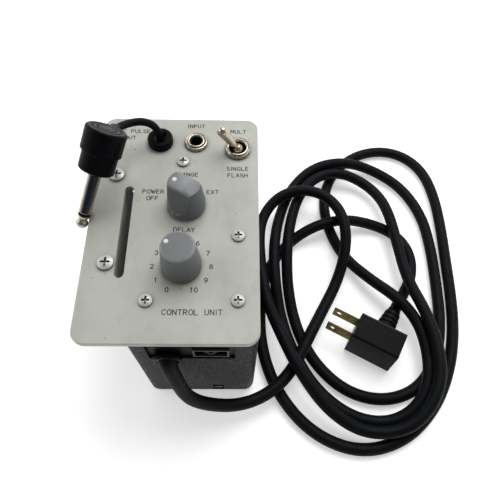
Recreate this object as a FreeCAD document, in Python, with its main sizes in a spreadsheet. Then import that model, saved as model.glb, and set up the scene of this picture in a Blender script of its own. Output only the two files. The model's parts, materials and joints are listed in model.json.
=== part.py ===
"""Flash-delay control unit: a painted aluminium panel over a narrow wrinkle-finish case,
with two knobs, a toggle, a phone jack, a phone plug on a pigtail and a mains lead.

Frame: X right, Y away from the user, Z up. The origin is under the middle of the panel,
on the surface that the case stands on. All sizes are in millimetres.
"""
import FreeCAD, Part
import Sketcher
import math
import os
from FreeCAD import Placement, Rotation, Vector

DIMS = {
    "unit_height": 96.0, "panel_width": 85.0, "panel_length": 130.2, "panel_thick": 3.2, "panel_corner": 6.5,
    "case_left": -20.2, "case_right": 42.2, "case_length": 129.2, "case_wall": 1.5, "case_corner": 6.0,
    "case_foot_radius": 4.0, "window_left": -10.2, "window_right": 31.0, "window_sill": 71.5,
    "slot_across": -24.2, "slot_near": -33.0, "slot_far": 19.0, "slot_radius": 2.35,
    "bracket_face": -27.0, "bracket_width": 12.0, "bracket_length": 58.0,
    "bracket_thick": 3.0, "bracket_drop": 29.0, "bracket_leg": 2.0,
    "bushing_radius": 4.76, "bushing_bore": 3.22, "shaft_radius": 3.17, "hole_gap": 0.1,
    "knob_radius": 9.7, "knob_height": 18.0, "knob_lift": 0.5, "delay_knob_height": 19.3,
    "range_across": 5.8, "range_along": 8.1, "delay_across": 5.2, "delay_along": -26.3,
    "jack_across": 8.8, "jack_along": 48.2, "jack_bore": 3.25,
    "toggle_across": 31.4, "toggle_along": 43.8, "toggle_bush_radius": 5.95, "toggle_mouth": 4.35,
    "signal_across": -10.5, "signal_along": 48.4, "signal_neck": 5.0, "signal_head": 6.8,
    "inlet_across": -1.49, "inlet_height": 74.04, "inlet_neck": 5.5,
    "switch_across": 19.6, "switch_height": 78.4, "switch_width": 17.4, "switch_tall": 9.9,
    "plate_thick": 1.5, "plate_drop": 46.0, "board_top": 48.0, "board_thick": 1.6,
    "small_head": 3.2, "small_shank": 1.7, "large_head": 3.9, "large_shank": 2.05,
    "mains_diameter": 7.4, "signal_diameter": 4.0,
    "plug_sleeve_radius": 3.175, "plug_cap_radius": 9.8, "plug_collar_radius": 8.6,
    "mains_plug_length": 29.5, "mains_plug_width": 17.0, "mains_plug_height": 22.0, "mains_plug_flare": 2.8,
    "blade_length": 16.5, "blade_width": 6.35, "blade_thick": 1.5, "blade_pitch": 12.7,
}

X_AXIS, Y_AXIS, Z_AXIS = Vector(1, 0, 0), Vector(0, 1, 0), Vector(0, 0, 1)
LEAN = 29.4                              # degrees that the toggle lever leans from upright, towards -X
RANGE_POINTER, DELAY_POINTER = 150, 155  # pointer headings of the two knobs, degrees from +X

# Free cords: control points of each route, in mm.
MAINS_ROUTE = [
    # out of the strain relief and down to the table
    (2.4, -73.2, 57.2), (4.8, -76.3, 46.8), (10.5, -78.0, 35.5), (19.5, -78.0, 25.5),
    (31.0, -76.8, 17.5), (43.5, -72.8, 12.8),
    # out across the loops, up over them at the far side
    (55.5, -65.5, 12.3), (66.0, -54.0, 12.3), (76.0, -35.5, 12.5), (86.8, -15.5, 6.5),
    (97.5, 3.5, 7.5), (104.0, 22.0, 14.5),
    (105.3, 39.5, 20.0), (101.5, 55.0, 21.2), (91.0, 66.5, 21.3), (76.0, 70.5, 20.8),
    (61.0, 66.5, 18.5), (50.3, 55.3, 13.5),
    # down the left side, near the case
    (46.3, 39.5, 12.4), (47.3, 13.0, 12.4), (51.0, -12.0, 13.0), (58.5, -35.0, 20.3),
    (69.0, -58.0, 20.5), (85.0, -79.0, 14.0),
    (106.0, -91.0, 9.5), (129.0, -90.0, 11.5), (144.0, -78.5, 16.5), (153.0, -60.5, 19.0),
    (154.0, -39.0, 19.0), (150.0, -18.0, 18.0),
    # third loop
    (144.0, 5.0, 12.8), (141.3, 31.0, 12.4), (139.0, 56.0, 12.0),
    (134.5, 74.5, 8.5), (121.5, 87.5, 9.0), (104.5, 92.0, 12.6), (87.5, 86.5, 12.6), (75.5, 71.5, 12.2),
    (68.5, 50.0, 12.6), (64.8, 25.0, 12.6), (65.3, -1.0, 5.5), (70.0, -27.0, 3.8),
    (80.5, -49.5, 3.8), (98.5, -66.5, 3.8), (121.0, -72.0, 3.8), (143.0, -65.0, 3.8),
    (157.5, -46.0, 3.8), (164.5, -21.0, 3.8), (166.5, 6.0, 3.8), (167.5, 33.0, 3.8),
    (165.5, 60.0, 3.8), (154.0, 85.0, 3.8), (133.0, 100.5, 5.0),
    # second loop
    (109.5, 102.0, 12.2), (87.5, 96.0, 12.5), (71.0, 81.0, 7.5),
    (61.5, 57.5, 8.5), (56.5, 32.0, 12.4), (56.3, 7.0, 11.6), (59.5, -18.0, 4.4),
    (67.0, -42.0, 3.8), (80.0, -65.0, 3.8), (99.5, -81.0, 3.8), (121.0, -85.0, 4.2),
    (138.5, -77.5, 8.5), (147.8, -61.5, 12.2), (149.8, -42.0, 12.3), (146.3, -23.0, 12.5),
    (135.5, -8.5, 14.0), (120.0, 6.0, 10.5), (105.5, 25.0, 4.0),
    # fourth loop
    (96.0, 48.0, 3.8), (94.0, 73.0, 3.8), (102.5, 96.5, 3.8), (120.5, 113.5, 3.8),
    (142.0, 119.5, 3.8), (160.5, 114.0, 3.8), (173.0, 99.0, 3.8),
    (177.6, 76.5, 3.8), (177.8, 50.0, 3.8), (176.3, 24.0, 3.8), (175.0, -2.0, 3.8),
    (171.9, -28.0, 3.8), (164.5, -52.5, 3.8), (151.5, -75.5, 3.8), (131.0, -94.0, 3.8),
    (104.0, -101.0, 3.8), (77.0, -91.0, 3.8), (57.5, -69.0, 3.8),
    # up beside the case, under the loops and round to the plug
    (47.5, -42.0, 3.8), (46.0, -12.0, 3.8), (51.5, 15.0, 3.8), (66.0, 35.8, 3.8),
    (85.0, 46.0, 12.0), (106.0, 51.5, 12.4),
    (127.0, 52.5, 4.6), (144.5, 44.0, 3.8), (152.5, 28.0, 3.8), (150.0, 10.0, 3.8),
    (141.5, -4.0, 4.6), (134.5, -14.5, 6.2),
]
SIGNAL_ROUTE = [
    (-10.5, 48.4, 98.0), (-10.5, 48.4, 102.7), (-11.8, 49.1, 107.0), (-14.6, 48.8, 110.7),
    (-18.6, 47.8, 113.0), (-23.1, 46.4, 113.5), (-26.8, 43.6, 114.7), (-28.9, 39.9, 116.8),
    (-29.2, 36.2, 119.6),
]

doc = FreeCAD.newDocument("flash_delay_unit")
sheet = doc.addObject("Spreadsheet::Sheet", "dims")
for row, (alias, value) in enumerate(DIMS.items(), start=1):
    sheet.set(f"A{row}", alias)
    sheet.set(f"B{row}", str(value))
    sheet.setAlias(f"B{row}", alias)
doc.recompute()

NODES = []


class Size:
    """A length that carries both its value and its spreadsheet expression."""

    def __init__(self, value, text):
        self.value, self.text = float(value), text

    def _join(self, other, sign, work, swap=False):
        other = other if isinstance(other, Size) else Size(other, repr(float(other)))
        left, right = (other, self) if swap else (self, other)
        return Size(work(left.value, right.value), f"({left.text} {sign} {right.text})")

    def __add__(self, other):
        return self._join(other, "+", lambda a, b: a + b)

    def __radd__(self, other):
        return self._join(other, "+", lambda a, b: a + b, swap=True)

    def __sub__(self, other):
        return self._join(other, "-", lambda a, b: a - b)

    def __rsub__(self, other):
        return self._join(other, "-", lambda a, b: a - b, swap=True)

    def __mul__(self, other):
        return self._join(other, "*", lambda a, b: a * b)

    def __truediv__(self, other):
        return self._join(other, "/", lambda a, b: a / b)

    def __neg__(self):
        return 0 - self


def dim(alias):
    return Size(DIMS[alias], "dims." + alias)


def value_of(size):
    return size.value if isinstance(size, Size) else float(size)


def bind(obj, prop, size):
    """Bind a property to the sheet, or set it when it is a plain number."""
    if isinstance(size, Size):
        obj.setExpression(prop, size.text)
    elif "." in prop or "[" in prop:
        obj.setExpression(prop, repr(float(size)))
    else:
        setattr(obj, prop, float(size))


def place(obj, at=(0, 0, 0), turn=Rotation()):
    obj.Placement = Placement(Vector(*[value_of(size) for size in at]), turn)
    for name, size in zip("xyz", at):
        if isinstance(size, Size):
            bind(obj, "Placement.Base." + name, size)
    return obj


def box(name, at, size, turn=Rotation()):
    obj = doc.addObject("Part::Box", name)
    for prop, length in zip(("Length", "Width", "Height"), size):
        bind(obj, prop, length)
    return place(obj, at, turn)


def cylinder(name, at, radius, height, turn=Rotation()):
    obj = doc.addObject("Part::Cylinder", name)
    bind(obj, "Radius", radius)
    bind(obj, "Height", height)
    return place(obj, at, turn)


def cone(name, at, low, high, height, turn=Rotation()):
    obj = doc.addObject("Part::Cone", name)
    bind(obj, "Radius1", low)
    bind(obj, "Radius2", high)
    bind(obj, "Height", height)
    return place(obj, at, turn)


def ball(name, at, radius):
    obj = doc.addObject("Part::Sphere", name)
    bind(obj, "Radius", radius)
    return place(obj, at)


def hexagon(name, at, flat_radius, height, turn=Rotation()):
    """Hexagonal prism whose flats lie flat_radius from its axis."""
    obj = doc.addObject("Part::Prism", name)
    obj.Polygon = 6
    bind(obj, "Circumradius", flat_radius * 2 / math.sqrt(3))
    bind(obj, "Height", height)
    return place(obj, at, turn)


def join(name, *shapes):
    obj = doc.addObject("Part::MultiFuse", name)
    obj.Shapes = list(shapes)
    return obj


def cut(name, base, *tools):
    obj = doc.addObject("Part::Cut", name)
    obj.Base = base
    obj.Tool = tools[0] if len(tools) == 1 else join(name + "_tools", *tools)
    return obj


def common(name, first, second):
    obj = doc.addObject("Part::Common", name)
    obj.Base, obj.Tool = first, second
    return obj


def group(name, solids):
    """Separate solids kept together as one object."""
    obj = doc.addObject("Part::Compound", name)
    obj.Links = list(solids)
    return obj


def node(obj, label):
    """Name a finished sub-part and list it for export."""
    obj.Label = label
    NODES.append(obj)
    return obj


# --- PartDesign helpers ---------------------------------------------------------------

def new_body(name):
    return doc.addObject("PartDesign::Body", name)


def new_sketch(body, name, role="XY_Plane", lift=0):
    sketch = body.newObject("Sketcher::SketchObject", name)
    plane = next(item for item in body.Origin.OriginFeatures if item.Role == role)
    sketch.AttachmentSupport = [(plane, "")]
    sketch.MapMode = "FlatFace"
    bind(sketch, "AttachmentOffset.Base.z", lift)
    return sketch


def hold(sketch, kind, geometry, point, size):
    """Constrain one point's distance from the sketch origin."""
    index = sketch.addConstraint(Sketcher.Constraint(kind, -1, 1, geometry, point, value_of(size)))
    bind(sketch, f"Constraints[{index}]", size)


def polygon(sketch, points):
    """Closed outline whose corners are all held by the sheet."""
    corners = [Vector(value_of(x), value_of(y), 0) for x, y in points]
    first = sketch.GeometryCount
    count = len(corners)
    for i in range(count):
        sketch.addGeometry(Part.LineSegment(corners[i], corners[(i + 1) % count]), False)
    for i in range(count):
        sketch.addConstraint(Sketcher.Constraint("Coincident", first + i, 2, first + (i + 1) % count, 1))
    for i, (x, y) in enumerate(points):
        hold(sketch, "DistanceX", first + i, 1, x)
        hold(sketch, "DistanceY", first + i, 1, y)


def circle(sketch, x, y, radius):
    centre = Vector(value_of(x), value_of(y), 0)
    index = sketch.addGeometry(Part.Circle(centre, Z_AXIS, value_of(radius)), False)
    hold(sketch, "DistanceX", index, 3, x)
    hold(sketch, "DistanceY", index, 3, y)
    constraint = sketch.addConstraint(Sketcher.Constraint("Radius", index, value_of(radius)))
    bind(sketch, f"Constraints[{constraint}]", radius)


def rectangle(sketch, left, near, right, far):
    polygon(sketch, [(left, near), (right, near), (right, far), (left, far)])


def pad(body, sketch, length, **options):
    feature = body.newObject("PartDesign::Pad", sketch.Name + "_pad")
    feature.Profile = sketch
    bind(feature, "Length", length)
    for key, value in options.items():
        setattr(feature, key, value)
    return feature


def pocket(body, sketch, **options):
    """Cut the sketch right through, both ways."""
    feature = body.newObject("PartDesign::Pocket", sketch.Name + "_pocket")
    feature.Profile = sketch
    feature.Type = "ThroughAll"
    feature.Midplane = True
    for key, value in options.items():
        setattr(feature, key, value)
    return feature


def revolve(body, sketch):
    feature = body.newObject("PartDesign::Revolution", sketch.Name + "_turned")
    feature.Profile = sketch
    feature.ReferenceAxis = (sketch, ["V_Axis"])
    feature.Angle = 360
    return feature


def fillet(body, base, radius, pick):
    """Round the edges of base for which pick(edge) is true."""
    doc.recompute()
    feature = body.newObject("PartDesign::Fillet", base.Name + "_round")
    names = [f"Edge{i}" for i, edge in enumerate(base.Shape.Edges, start=1) if pick(edge)]
    feature.Base = (base, names)
    bind(feature, "Radius", radius)
    return feature


def is_upright(edge):
    box_of = edge.BoundBox
    return box_of.ZLength > 1 and box_of.XLength < 0.01 and box_of.YLength < 0.01


def at_height(level):
    return lambda edge: abs(edge.BoundBox.ZMin - level) < 0.01 and edge.BoundBox.ZLength < 0.01


# --- Shared places ---------------------------------------------------------------------

top = dim("unit_height")
under = top - dim("panel_thick")
case_near = -dim("case_length") / 2
range_at = (dim("range_across"), dim("range_along"))
delay_at = (dim("delay_across"), dim("delay_along"))
jack_at = (dim("jack_across"), dim("jack_along"))
toggle_at = (dim("toggle_across"), dim("toggle_along"))
signal_at = (dim("signal_across"), dim("signal_along"))
POST_PLACES = [(2.4, 35.1), (32.2, -10.0), (32.3, -44.4), (-10.2, -44.6)]
BRACKET_SCREWS = [(-31.6, 25.9), (-31.0, -25.4)]
CAPACITOR_SIZES = [(-5, -14, 5, 18), (-5, -28, 5, 18), (20, -22, 4, 14), (-6, 22, 4, 12), (22, 20, 4, 12)]
TRANSISTOR_PLACES = [(12, -48), (22, -54), (4, 52), (18, 54), (30, 52)]
RESISTOR_PLACES = [(8, -34), (8, -40), (20, -36), (20, -42), (-9, 2), (24, 6), (24, 12), (8, 46)]
TOWARDS_USER = Rotation(X_AXIS, 90)      # turns +Z to -Y


def above(spot, height):
    return (spot[0], spot[1], height)


# --- Panel and case --------------------------------------------------------------------

def make_panel():
    body = new_body("panel_body")
    outline = new_sketch(body, "panel_outline", lift=under)
    half_width, half_length = dim("panel_width") / 2, dim("panel_length") / 2
    rectangle(outline, -half_width, -half_length, half_width, half_length)
    plate = pad(body, outline, dim("panel_thick"))
    rounded = fillet(body, plate, dim("panel_corner"), is_upright)
    softened = fillet(body, rounded, 0.5, at_height(DIMS["unit_height"]))
    holes = new_sketch(body, "panel_holes", lift=under)
    for x, y in POST_PLACES:
        circle(holes, x, y, dim("small_shank") + dim("hole_gap"))
    for x, y in BRACKET_SCREWS:
        circle(holes, x, y, dim("large_shank") + dim("hole_gap"))
    for spot in (range_at, delay_at, jack_at):
        circle(holes, spot[0], spot[1], dim("bushing_radius") + dim("hole_gap"))
    circle(holes, toggle_at[0], toggle_at[1], dim("toggle_bush_radius") + dim("hole_gap"))
    circle(holes, signal_at[0], signal_at[1], dim("signal_neck") + dim("hole_gap"))
    circle(holes, dim("slot_across"), dim("slot_near") + dim("slot_radius"), dim("slot_radius"))
    circle(holes, dim("slot_across"), dim("slot_far") - dim("slot_radius"), dim("slot_radius"))
    pocket(body, holes)
    slot = new_sketch(body, "panel_slot", lift=under)
    rectangle(slot, dim("slot_across") - dim("slot_radius"), dim("slot_near") + dim("slot_radius"),
              dim("slot_across") + dim("slot_radius"), dim("slot_far") - dim("slot_radius"))
    pocket(body, slot)
    node(body, "front_panel")


def make_case():
    body = new_body("case_body")
    outline = new_sketch(body, "case_outline")
    left, right, far = dim("case_left"), dim("case_right"), dim("case_length") / 2
    rectangle(outline, left, case_near, right, far)
    block = pad(body, outline, under)
    sides = fillet(body, block, dim("case_corner"), is_upright)
    foot = fillet(body, sides, dim("case_foot_radius"), at_height(0))
    doc.recompute()
    shell = body.newObject("PartDesign::Thickness", "case_hollow")
    mouth = [f"Face{i}" for i, face in enumerate(foot.Shape.Faces, start=1)
             if abs(face.BoundBox.ZMin - value_of(under)) < 0.01]
    shell.Base = (foot, mouth)
    bind(shell, "Value", dim("case_wall"))
    shell.Reversed = True
    doc.recompute()
    window = box("case_window", (dim("window_left"), case_near - 1, dim("window_sill")),
                 (dim("window_right") - dim("window_left"), dim("case_wall") + 2, 40))
    inlet_notch = cylinder("inlet_notch", (dim("inlet_across"), case_near + 3, dim("inlet_height")),
                           dim("inlet_neck") + 0.3, 6, TOWARDS_USER)
    catch_slot = box("catch_slot", (18.3, case_near - 1, 4.5), (6.0, dim("case_wall") + 2, 10.5))
    node(cut("case_shell", body, window, inlet_notch, catch_slot), "case_shell")


def pan_screw(name, x, y, head, shank, length):
    """Cross-recessed pan head screw standing on the panel."""
    cap = common(name + "_cap", cylinder(name + "_head", (x, y, top), head, 3.0),
                 ball(name + "_dome", (x, y, top - head * 1.9), head * 2.45))
    stem = cylinder(name + "_shank", (x, y, top - length), shank, length + 0.5)
    reach, blade, floor = head * 0.6, 1.0, top + 0.3
    arms = [box(name + "_arm_across", (x - reach, y - blade / 2, floor), (reach * 2, blade, 3)),
            box(name + "_arm_along", (x - blade / 2, y - reach, floor), (blade, reach * 2, 3))]
    return cut(name, join(name + "_blank", cap, stem), *arms)


def make_panel_screws():
    small = [pan_screw(f"small_screw_{i}", x, y, dim("small_head"), dim("small_shank"), 10.0)
             for i, (x, y) in enumerate(POST_PLACES)]
    node(group("small_screws", small), "panel_screws")
    large = [pan_screw(f"large_screw_{i}", x, y, dim("large_head"), dim("large_shank"), 6.0)
             for i, (x, y) in enumerate(BRACKET_SCREWS)]
    node(group("large_screws", large), "bracket_screws")


def make_mounting_bracket():
    """Angle bracket under the overhang, tapped for the two large screws."""
    body = new_body("bracket_body")
    profile = new_sketch(body, "bracket_profile", "XZ_Plane")
    face, thick, foot = dim("bracket_face"), dim("bracket_thick"), under - dim("bracket_drop")
    outer, leg = face - dim("bracket_width"), face - dim("bracket_leg")
    polygon(profile, [(face, under), (outer, under), (outer, under - thick), (leg, under - thick),
                      (leg, foot), (face, foot)])
    angle = pad(body, profile, dim("bracket_length"), Midplane=True)
    holes = new_sketch(body, "bracket_holes", lift=under)
    for x, y in BRACKET_SCREWS:
        circle(holes, x, y, dim("large_shank"))
    doc.recompute()
    pocket(body, holes)
    node(body, "mounting_bracket")


# --- Inside frame ----------------------------------------------------------------------

def make_posts():
    posts = [cut(f"post_{i}", hexagon(f"post_hex_{i}", (x, y, dim("board_top")), 3.2,
                                      under - dim("board_top") - (dim("plate_thick") if y < -40 else 0)),
                 cylinder(f"post_top_{i}", (x, y, top - 10.0), dim("small_shank"), 10),
                 cylinder(f"post_low_{i}", (x, y, dim("board_top") - 1), dim("small_shank"), 8))
             for i, (x, y) in enumerate(POST_PLACES)]
    node(group("posts", posts), "standoffs")


def make_board():
    body = new_body("board_body")
    outline = new_sketch(body, "board_outline", lift=dim("board_top") - dim("board_thick"))
    rectangle(outline, -13.0, -58.0, 38.0, 60.0)
    pad(body, outline, dim("board_thick"))
    holes = new_sketch(body, "board_holes", lift=dim("board_top") - dim("board_thick"))
    for x, y in POST_PLACES:
        circle(holes, x, y, dim("small_shank") + dim("hole_gap"))
    pocket(body, holes)
    node(body, "circuit_board")
    low = dim("board_top") - dim("board_thick")
    screws = [join(f"board_screw_{i}", cylinder(f"board_head_{i}", (x, y, low - 1.8), 3.0, 1.8),
                   cylinder(f"board_shank_{i}", (x, y, low - 1), dim("small_shank"), 8))
              for i, (x, y) in enumerate(POST_PLACES)]
    node(group("board_screws_all", screws), "board_screws")


def make_board_components():
    deck = dim("board_top")
    low = deck - dim("board_thick")
    core = box("core", (0, 4, low - 24), (26, 26, 24))
    coil = box("coil", (-3, 7, low - 21), (32, 20, 18))
    node(join("transformer", core, coil), "power_transformer")
    cans = [cylinder(f"can_{i}", (x, y, deck), radius, height)
            for i, (x, y, radius, height) in enumerate(CAPACITOR_SIZES)]
    node(group("cans", cans), "capacitors")
    hats = [join(f"transistor_{i}", cylinder(f"hat_{i}", (x, y, deck + 2), 4.0, 6),
                 cylinder(f"hat_foot_{i}", (x, y, deck), 2.5, 2.5))
            for i, (x, y) in enumerate(TRANSISTOR_PLACES)]
    node(group("hats", hats), "transistors")
    rods = [box(f"rod_{i}", (x, y, deck), (9, 2.6, 2.6)) for i, (x, y) in enumerate(RESISTOR_PLACES)]
    node(group("rods", rods), "resistors")


def make_connector_plate():
    """Bent plate behind the case window: it carries the mains inlet and the slide switch."""
    thick = dim("plate_thick")
    front = case_near + dim("case_wall")
    flange = box("plate_flange", (-13.6, front + 4.8, under - thick), (52.0, 18.4, thick))
    lip = box("plate_lip", (-10.4, front, under - thick), (45.9, 6.0, thick))
    leg = box("plate_leg", (-10.4, front, under - dim("plate_drop")), (45.9, thick, dim("plate_drop")))
    tongue = box("plate_tongue", (13.0, front, 12.0), (16.0, thick, 36.0))
    clearance = dim("small_shank") + dim("hole_gap")
    holes = [cylinder(f"plate_hole_{i}", (x, y, under - thick - 1), clearance, thick + 2)
             for i, (x, y) in enumerate(POST_PLACES) if y < -40]
    inlet = cylinder("plate_inlet", (dim("inlet_across"), front + thick + 1, dim("inlet_height")),
                     dim("inlet_neck") + dim("hole_gap"), thick + 2, TOWARDS_USER)
    switch = box("plate_switch", (dim("switch_across") - 7.6, front - 1, dim("switch_height") - 3.6),
                 (15.2, thick + 2, 7.2))
    blank = join("plate_blank", flange, lip, leg, tongue)
    node(cut("connector_plate", blank, inlet, switch, *holes), "connector_plate")
    blade = box("catch_blade", (18.9, front + thick, 4.5), (4.8, 1.0, 20.0))
    nose = box("catch_nose", (18.9, case_near + 0.2, 8.0), (4.8, dim("case_wall") + thick + 0.1, 3.0))
    step = box("catch_step", (18.9, front, 8.0), (4.8, thick + 0.5, 3.0))
    rivet = cylinder("catch_rivet", (21.3, front + thick + 2.2, 20.0), 1.6, 1.2, TOWARDS_USER)
    node(join("catch", blade, nose, step, rivet), "case_catch")


# --- Knobs and their controls ----------------------------------------------------------

def knob_blank(body, name, height, top_radius):
    """Turned knob body with a recess for the nut and a bore for the shaft."""
    profile = new_sketch(body, name + "_profile", "XZ_Plane")
    bore, rim = dim("shaft_radius"), dim("knob_radius")
    polygon(profile, [(bore, 6.5), (7.9, 6.5), (7.9, 0), (rim, 0), (rim, 3.0), (top_radius, height),
                      (0, height), (0, height - 3.5), (bore, height - 3.5)])
    return revolve(body, profile)


def make_shaft(name, spot, low, knob_height):
    height = top + dim("knob_lift") + knob_height - 3.5 - low
    node(cylinder(name, above(spot, low), dim("shaft_radius"), height), name)


def make_bushing(name, spot):
    tube = cut(name + "_tube", cylinder(name + "_outer", above(spot, under), dim("bushing_radius"), 8.0),
               cylinder(name + "_inner", above(spot, under - 1), dim("bushing_bore"), 10.0))
    node(tube, name)


def make_hex_nut(name, spot):
    node(cut(name, hexagon(name + "_hex", above(spot, top), 6.35, 2.2),
             cylinder(name + "_bore", above(spot, top - 1), dim("bushing_radius"), 5)), name)


def make_set_screw(name, spot, pointer):
    """Grub screw opposite the pointer, from the knob's side to its shaft."""
    heading = Rotation(Z_AXIS, pointer + 180) * Rotation(Y_AXIS, 90)
    reach = value_of(dim("shaft_radius"))
    angle = math.radians(pointer + 180)
    start = (spot[0] + reach * math.cos(angle), spot[1] + reach * math.sin(angle), top + 10.5)
    return cylinder(name, start, 1.5, 3.6, heading)


def drill_for_set_screw(name, knob, spot, pointer):
    hole = make_set_screw(name + "_hole", spot, pointer)
    hole.Height = 8
    return cut(name, knob, hole)


def make_range_control():
    body = new_body("range_knob_body")
    knob_blank(body, "range", dim("knob_height"), 8.3)
    flats = new_sketch(body, "range_flats", "YZ_Plane")
    height = dim("knob_height")
    for side in (-1, 1):
        polygon(flats, [(side * 3.7, height + 1), (side * 3.7, height), (side * 8.5, 3.5),
                        (side * 12.0, 3.5), (side * 12.0, height + 1)])
    pocket(body, flats)
    place(body, above(range_at, top + dim("knob_lift")), Rotation(Z_AXIS, RANGE_POINTER))
    node(drill_for_set_screw("range_knob_drilled", body, range_at, RANGE_POINTER), "range_knob")
    node(make_set_screw("range_grub", range_at, RANGE_POINTER), "range_set_screw")
    make_shaft("range_shaft", range_at, under - 25, dim("knob_height"))
    make_bushing("range_bushing", range_at)
    make_hex_nut("range_nut", range_at)
    housing = cut("range_housing", cylinder("range_drum", above(range_at, under - 8), 13.0, 8.0),
                  cylinder("range_drum_bore", above(range_at, under - 9), dim("bushing_bore"), 10.0))
    node(housing, "range_switch_housing")
    wafers = [cut(f"wafer_{i}", cylinder(f"wafer_disc_{i}", above(range_at, under - drop), 14.0, 2.0),
                  cylinder(f"wafer_bore_{i}", above(range_at, under - drop - 1), 4.2, 4.0))
              for i, drop in enumerate((15.0, 22.0))]
    node(group("wafers", wafers), "range_wafers")
    spacers = [cylinder(f"spacer_{i}", (range_at[0] + side * 10.0, range_at[1], under - drop), 1.6, length)
               for i, (side, drop, length) in enumerate([(-1, 13, 5), (1, 13, 5), (-1, 20, 5), (1, 20, 5)])]
    node(group("spacers", spacers), "range_spacers")


def make_delay_control():
    body = new_body("delay_knob_body")
    turned = knob_blank(body, "delay", dim("delay_knob_height"), 8.0)
    fillet(body, turned, 1.1, at_height(DIMS["delay_knob_height"]))
    place(body, above(delay_at, top + dim("knob_lift")), Rotation(Z_AXIS, DELAY_POINTER))
    node(drill_for_set_screw("delay_knob_drilled", body, delay_at, DELAY_POINTER), "delay_knob")
    node(make_set_screw("delay_grub", delay_at, DELAY_POINTER), "delay_set_screw")
    make_shaft("delay_shaft", delay_at, under - 9, dim("delay_knob_height"))
    make_bushing("delay_bushing", delay_at)
    make_hex_nut("delay_nut", delay_at)
    can = cut("pot_can", cylinder("pot_drum", above(delay_at, under - 12.5), 12.0, 12.5),
              cylinder("pot_bore", above(delay_at, under - 9.5), dim("bushing_bore"), 10.5))
    node(can, "delay_potentiometer")
    lugs = [box(f"lug_{i}", (delay_at[0] + shift - 1.2, delay_at[1] + 11.4, under - 11.0), (2.4, 6.0, 0.8))
            for i, shift in enumerate((-5.0, 0.0, 5.0))]
    can_space = cylinder("pot_lug_cutter", above(delay_at, under - 13), 12.0, 14)
    node(cut("pot_lug_set", group("pot_lugs", lugs), can_space), "potentiometer_lugs")


# --- Jack, toggle and slide switch -----------------------------------------------------

def make_jack():
    sleeve = join("jack_sleeve", cylinder("jack_tube", above(jack_at, under - 2), dim("bushing_radius"), 7.6),
                  cylinder("jack_shoulder", above(jack_at, under - 2), 7.0, 2.0))
    node(cut("jack_bushing", sleeve, cylinder("jack_bore", above(jack_at, under - 3), dim("jack_bore"), 12)),
         "jack_bushing")
    ring = cylinder("jack_ring", above(jack_at, top), 6.3, 2.0)
    bore = cylinder("jack_ring_bore", above(jack_at, top - 1), dim("bushing_radius"), 4)
    node(cut("jack_nut_turned", ring, bore), "jack_nut")
    x, y = jack_at
    plate = cut("jack_plate", box("jack_top", (x - 7.0, y - 7.0, under - 3.2), (14.0, 14.0, 1.2)),
                cylinder("jack_plate_bore", above(jack_at, under - 4), dim("jack_bore"), 3))
    arm = box("jack_arm", (x - 4.5, y + 7.0, under - 28.0), (9.0, 1.4, 26.0))
    node(join("jack_frame_bent", plate, arm), "jack_frame")
    stack = [box(f"jack_pad_{i}", (x - 4.0, y + 8.4, under - drop), (8.0, 4.0, 2.0))
             for i, drop in enumerate((26.0, 20.0))]
    node(group("jack_pads", stack), "jack_insulators")
    blade = box("jack_blade", (x - 3.0, y + 8.6, under - 22.6), (6.0, 4.6, 0.6))
    finger = box("jack_finger", (x - 3.0, y + 12.6, under - 22.6), (6.0, 0.6, 12.0))
    node(join("jack_spring_bent", blade, finger), "jack_spring")


def make_toggle():
    tube = cylinder("toggle_tube", above(toggle_at, under), dim("toggle_bush_radius"), 6.0)
    mouth = cylinder("toggle_tube_bore", above(toggle_at, under - 1), dim("toggle_mouth"), 8)
    node(cut("toggle_bushing_bored", tube, mouth), "toggle_bushing")
    ring = cylinder("toggle_ring", above(toggle_at, top), 6.9, 3.0)
    notches = []
    for i in range(15):
        angle = math.radians(24 * i)
        at = (toggle_at[0] + 7.6 * math.cos(angle), toggle_at[1] + 7.6 * math.sin(angle), top - 1)
        notches.append(cylinder(f"toggle_notch_{i}", at, 1.1, 5))
    bore = cylinder("toggle_ring_bore", above(toggle_at, top - 1), dim("toggle_bush_radius"), 5)
    node(cut("toggle_nut_cut", ring, bore, *notches), "toggle_nut")
    x, y = toggle_at
    node(cut("toggle_case", box("toggle_block", (x - 8.0, y - 6.5, under - 16.0), (16.0, 13.0, 16.0)),
             box("toggle_cavity", (x - 6.7, y - 4.8, under - 14.0), (13.4, 9.6, 15.0))), "toggle_body")
    pins = [box(f"toggle_pin_{i}", (x + shift - 0.5, y - 2.0, under - 21.0), (1.0, 4.0, 5.0))
            for i, shift in enumerate((-5.0, 0.0, 5.0))]
    node(group("toggle_pins", pins), "toggle_terminals")
    make_toggle_lever()


def make_toggle_lever():
    """Bat lever on its pivot ball, leaning to one stop."""
    lean = Rotation(Y_AXIS, -LEAN)
    pivot = Vector(*[value_of(size) for size in above(toggle_at, top + 0.6)])

    def along(distance):
        point = pivot + lean.multVec(Vector(0, 0, distance))
        return (point.x, point.y, point.z)

    bat = cone("toggle_bat", along(0), 1.9, 2.8, 16.0, lean)
    tip = ball("toggle_tip", along(16.0), 2.8)
    hub = ball("toggle_hub", along(0), 3.2)
    tail = cylinder("toggle_tail", along(-8.5), 1.3, 8.5, lean)
    node(join("toggle_lever_joined", bat, tip, hub, tail), "toggle_lever")


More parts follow.
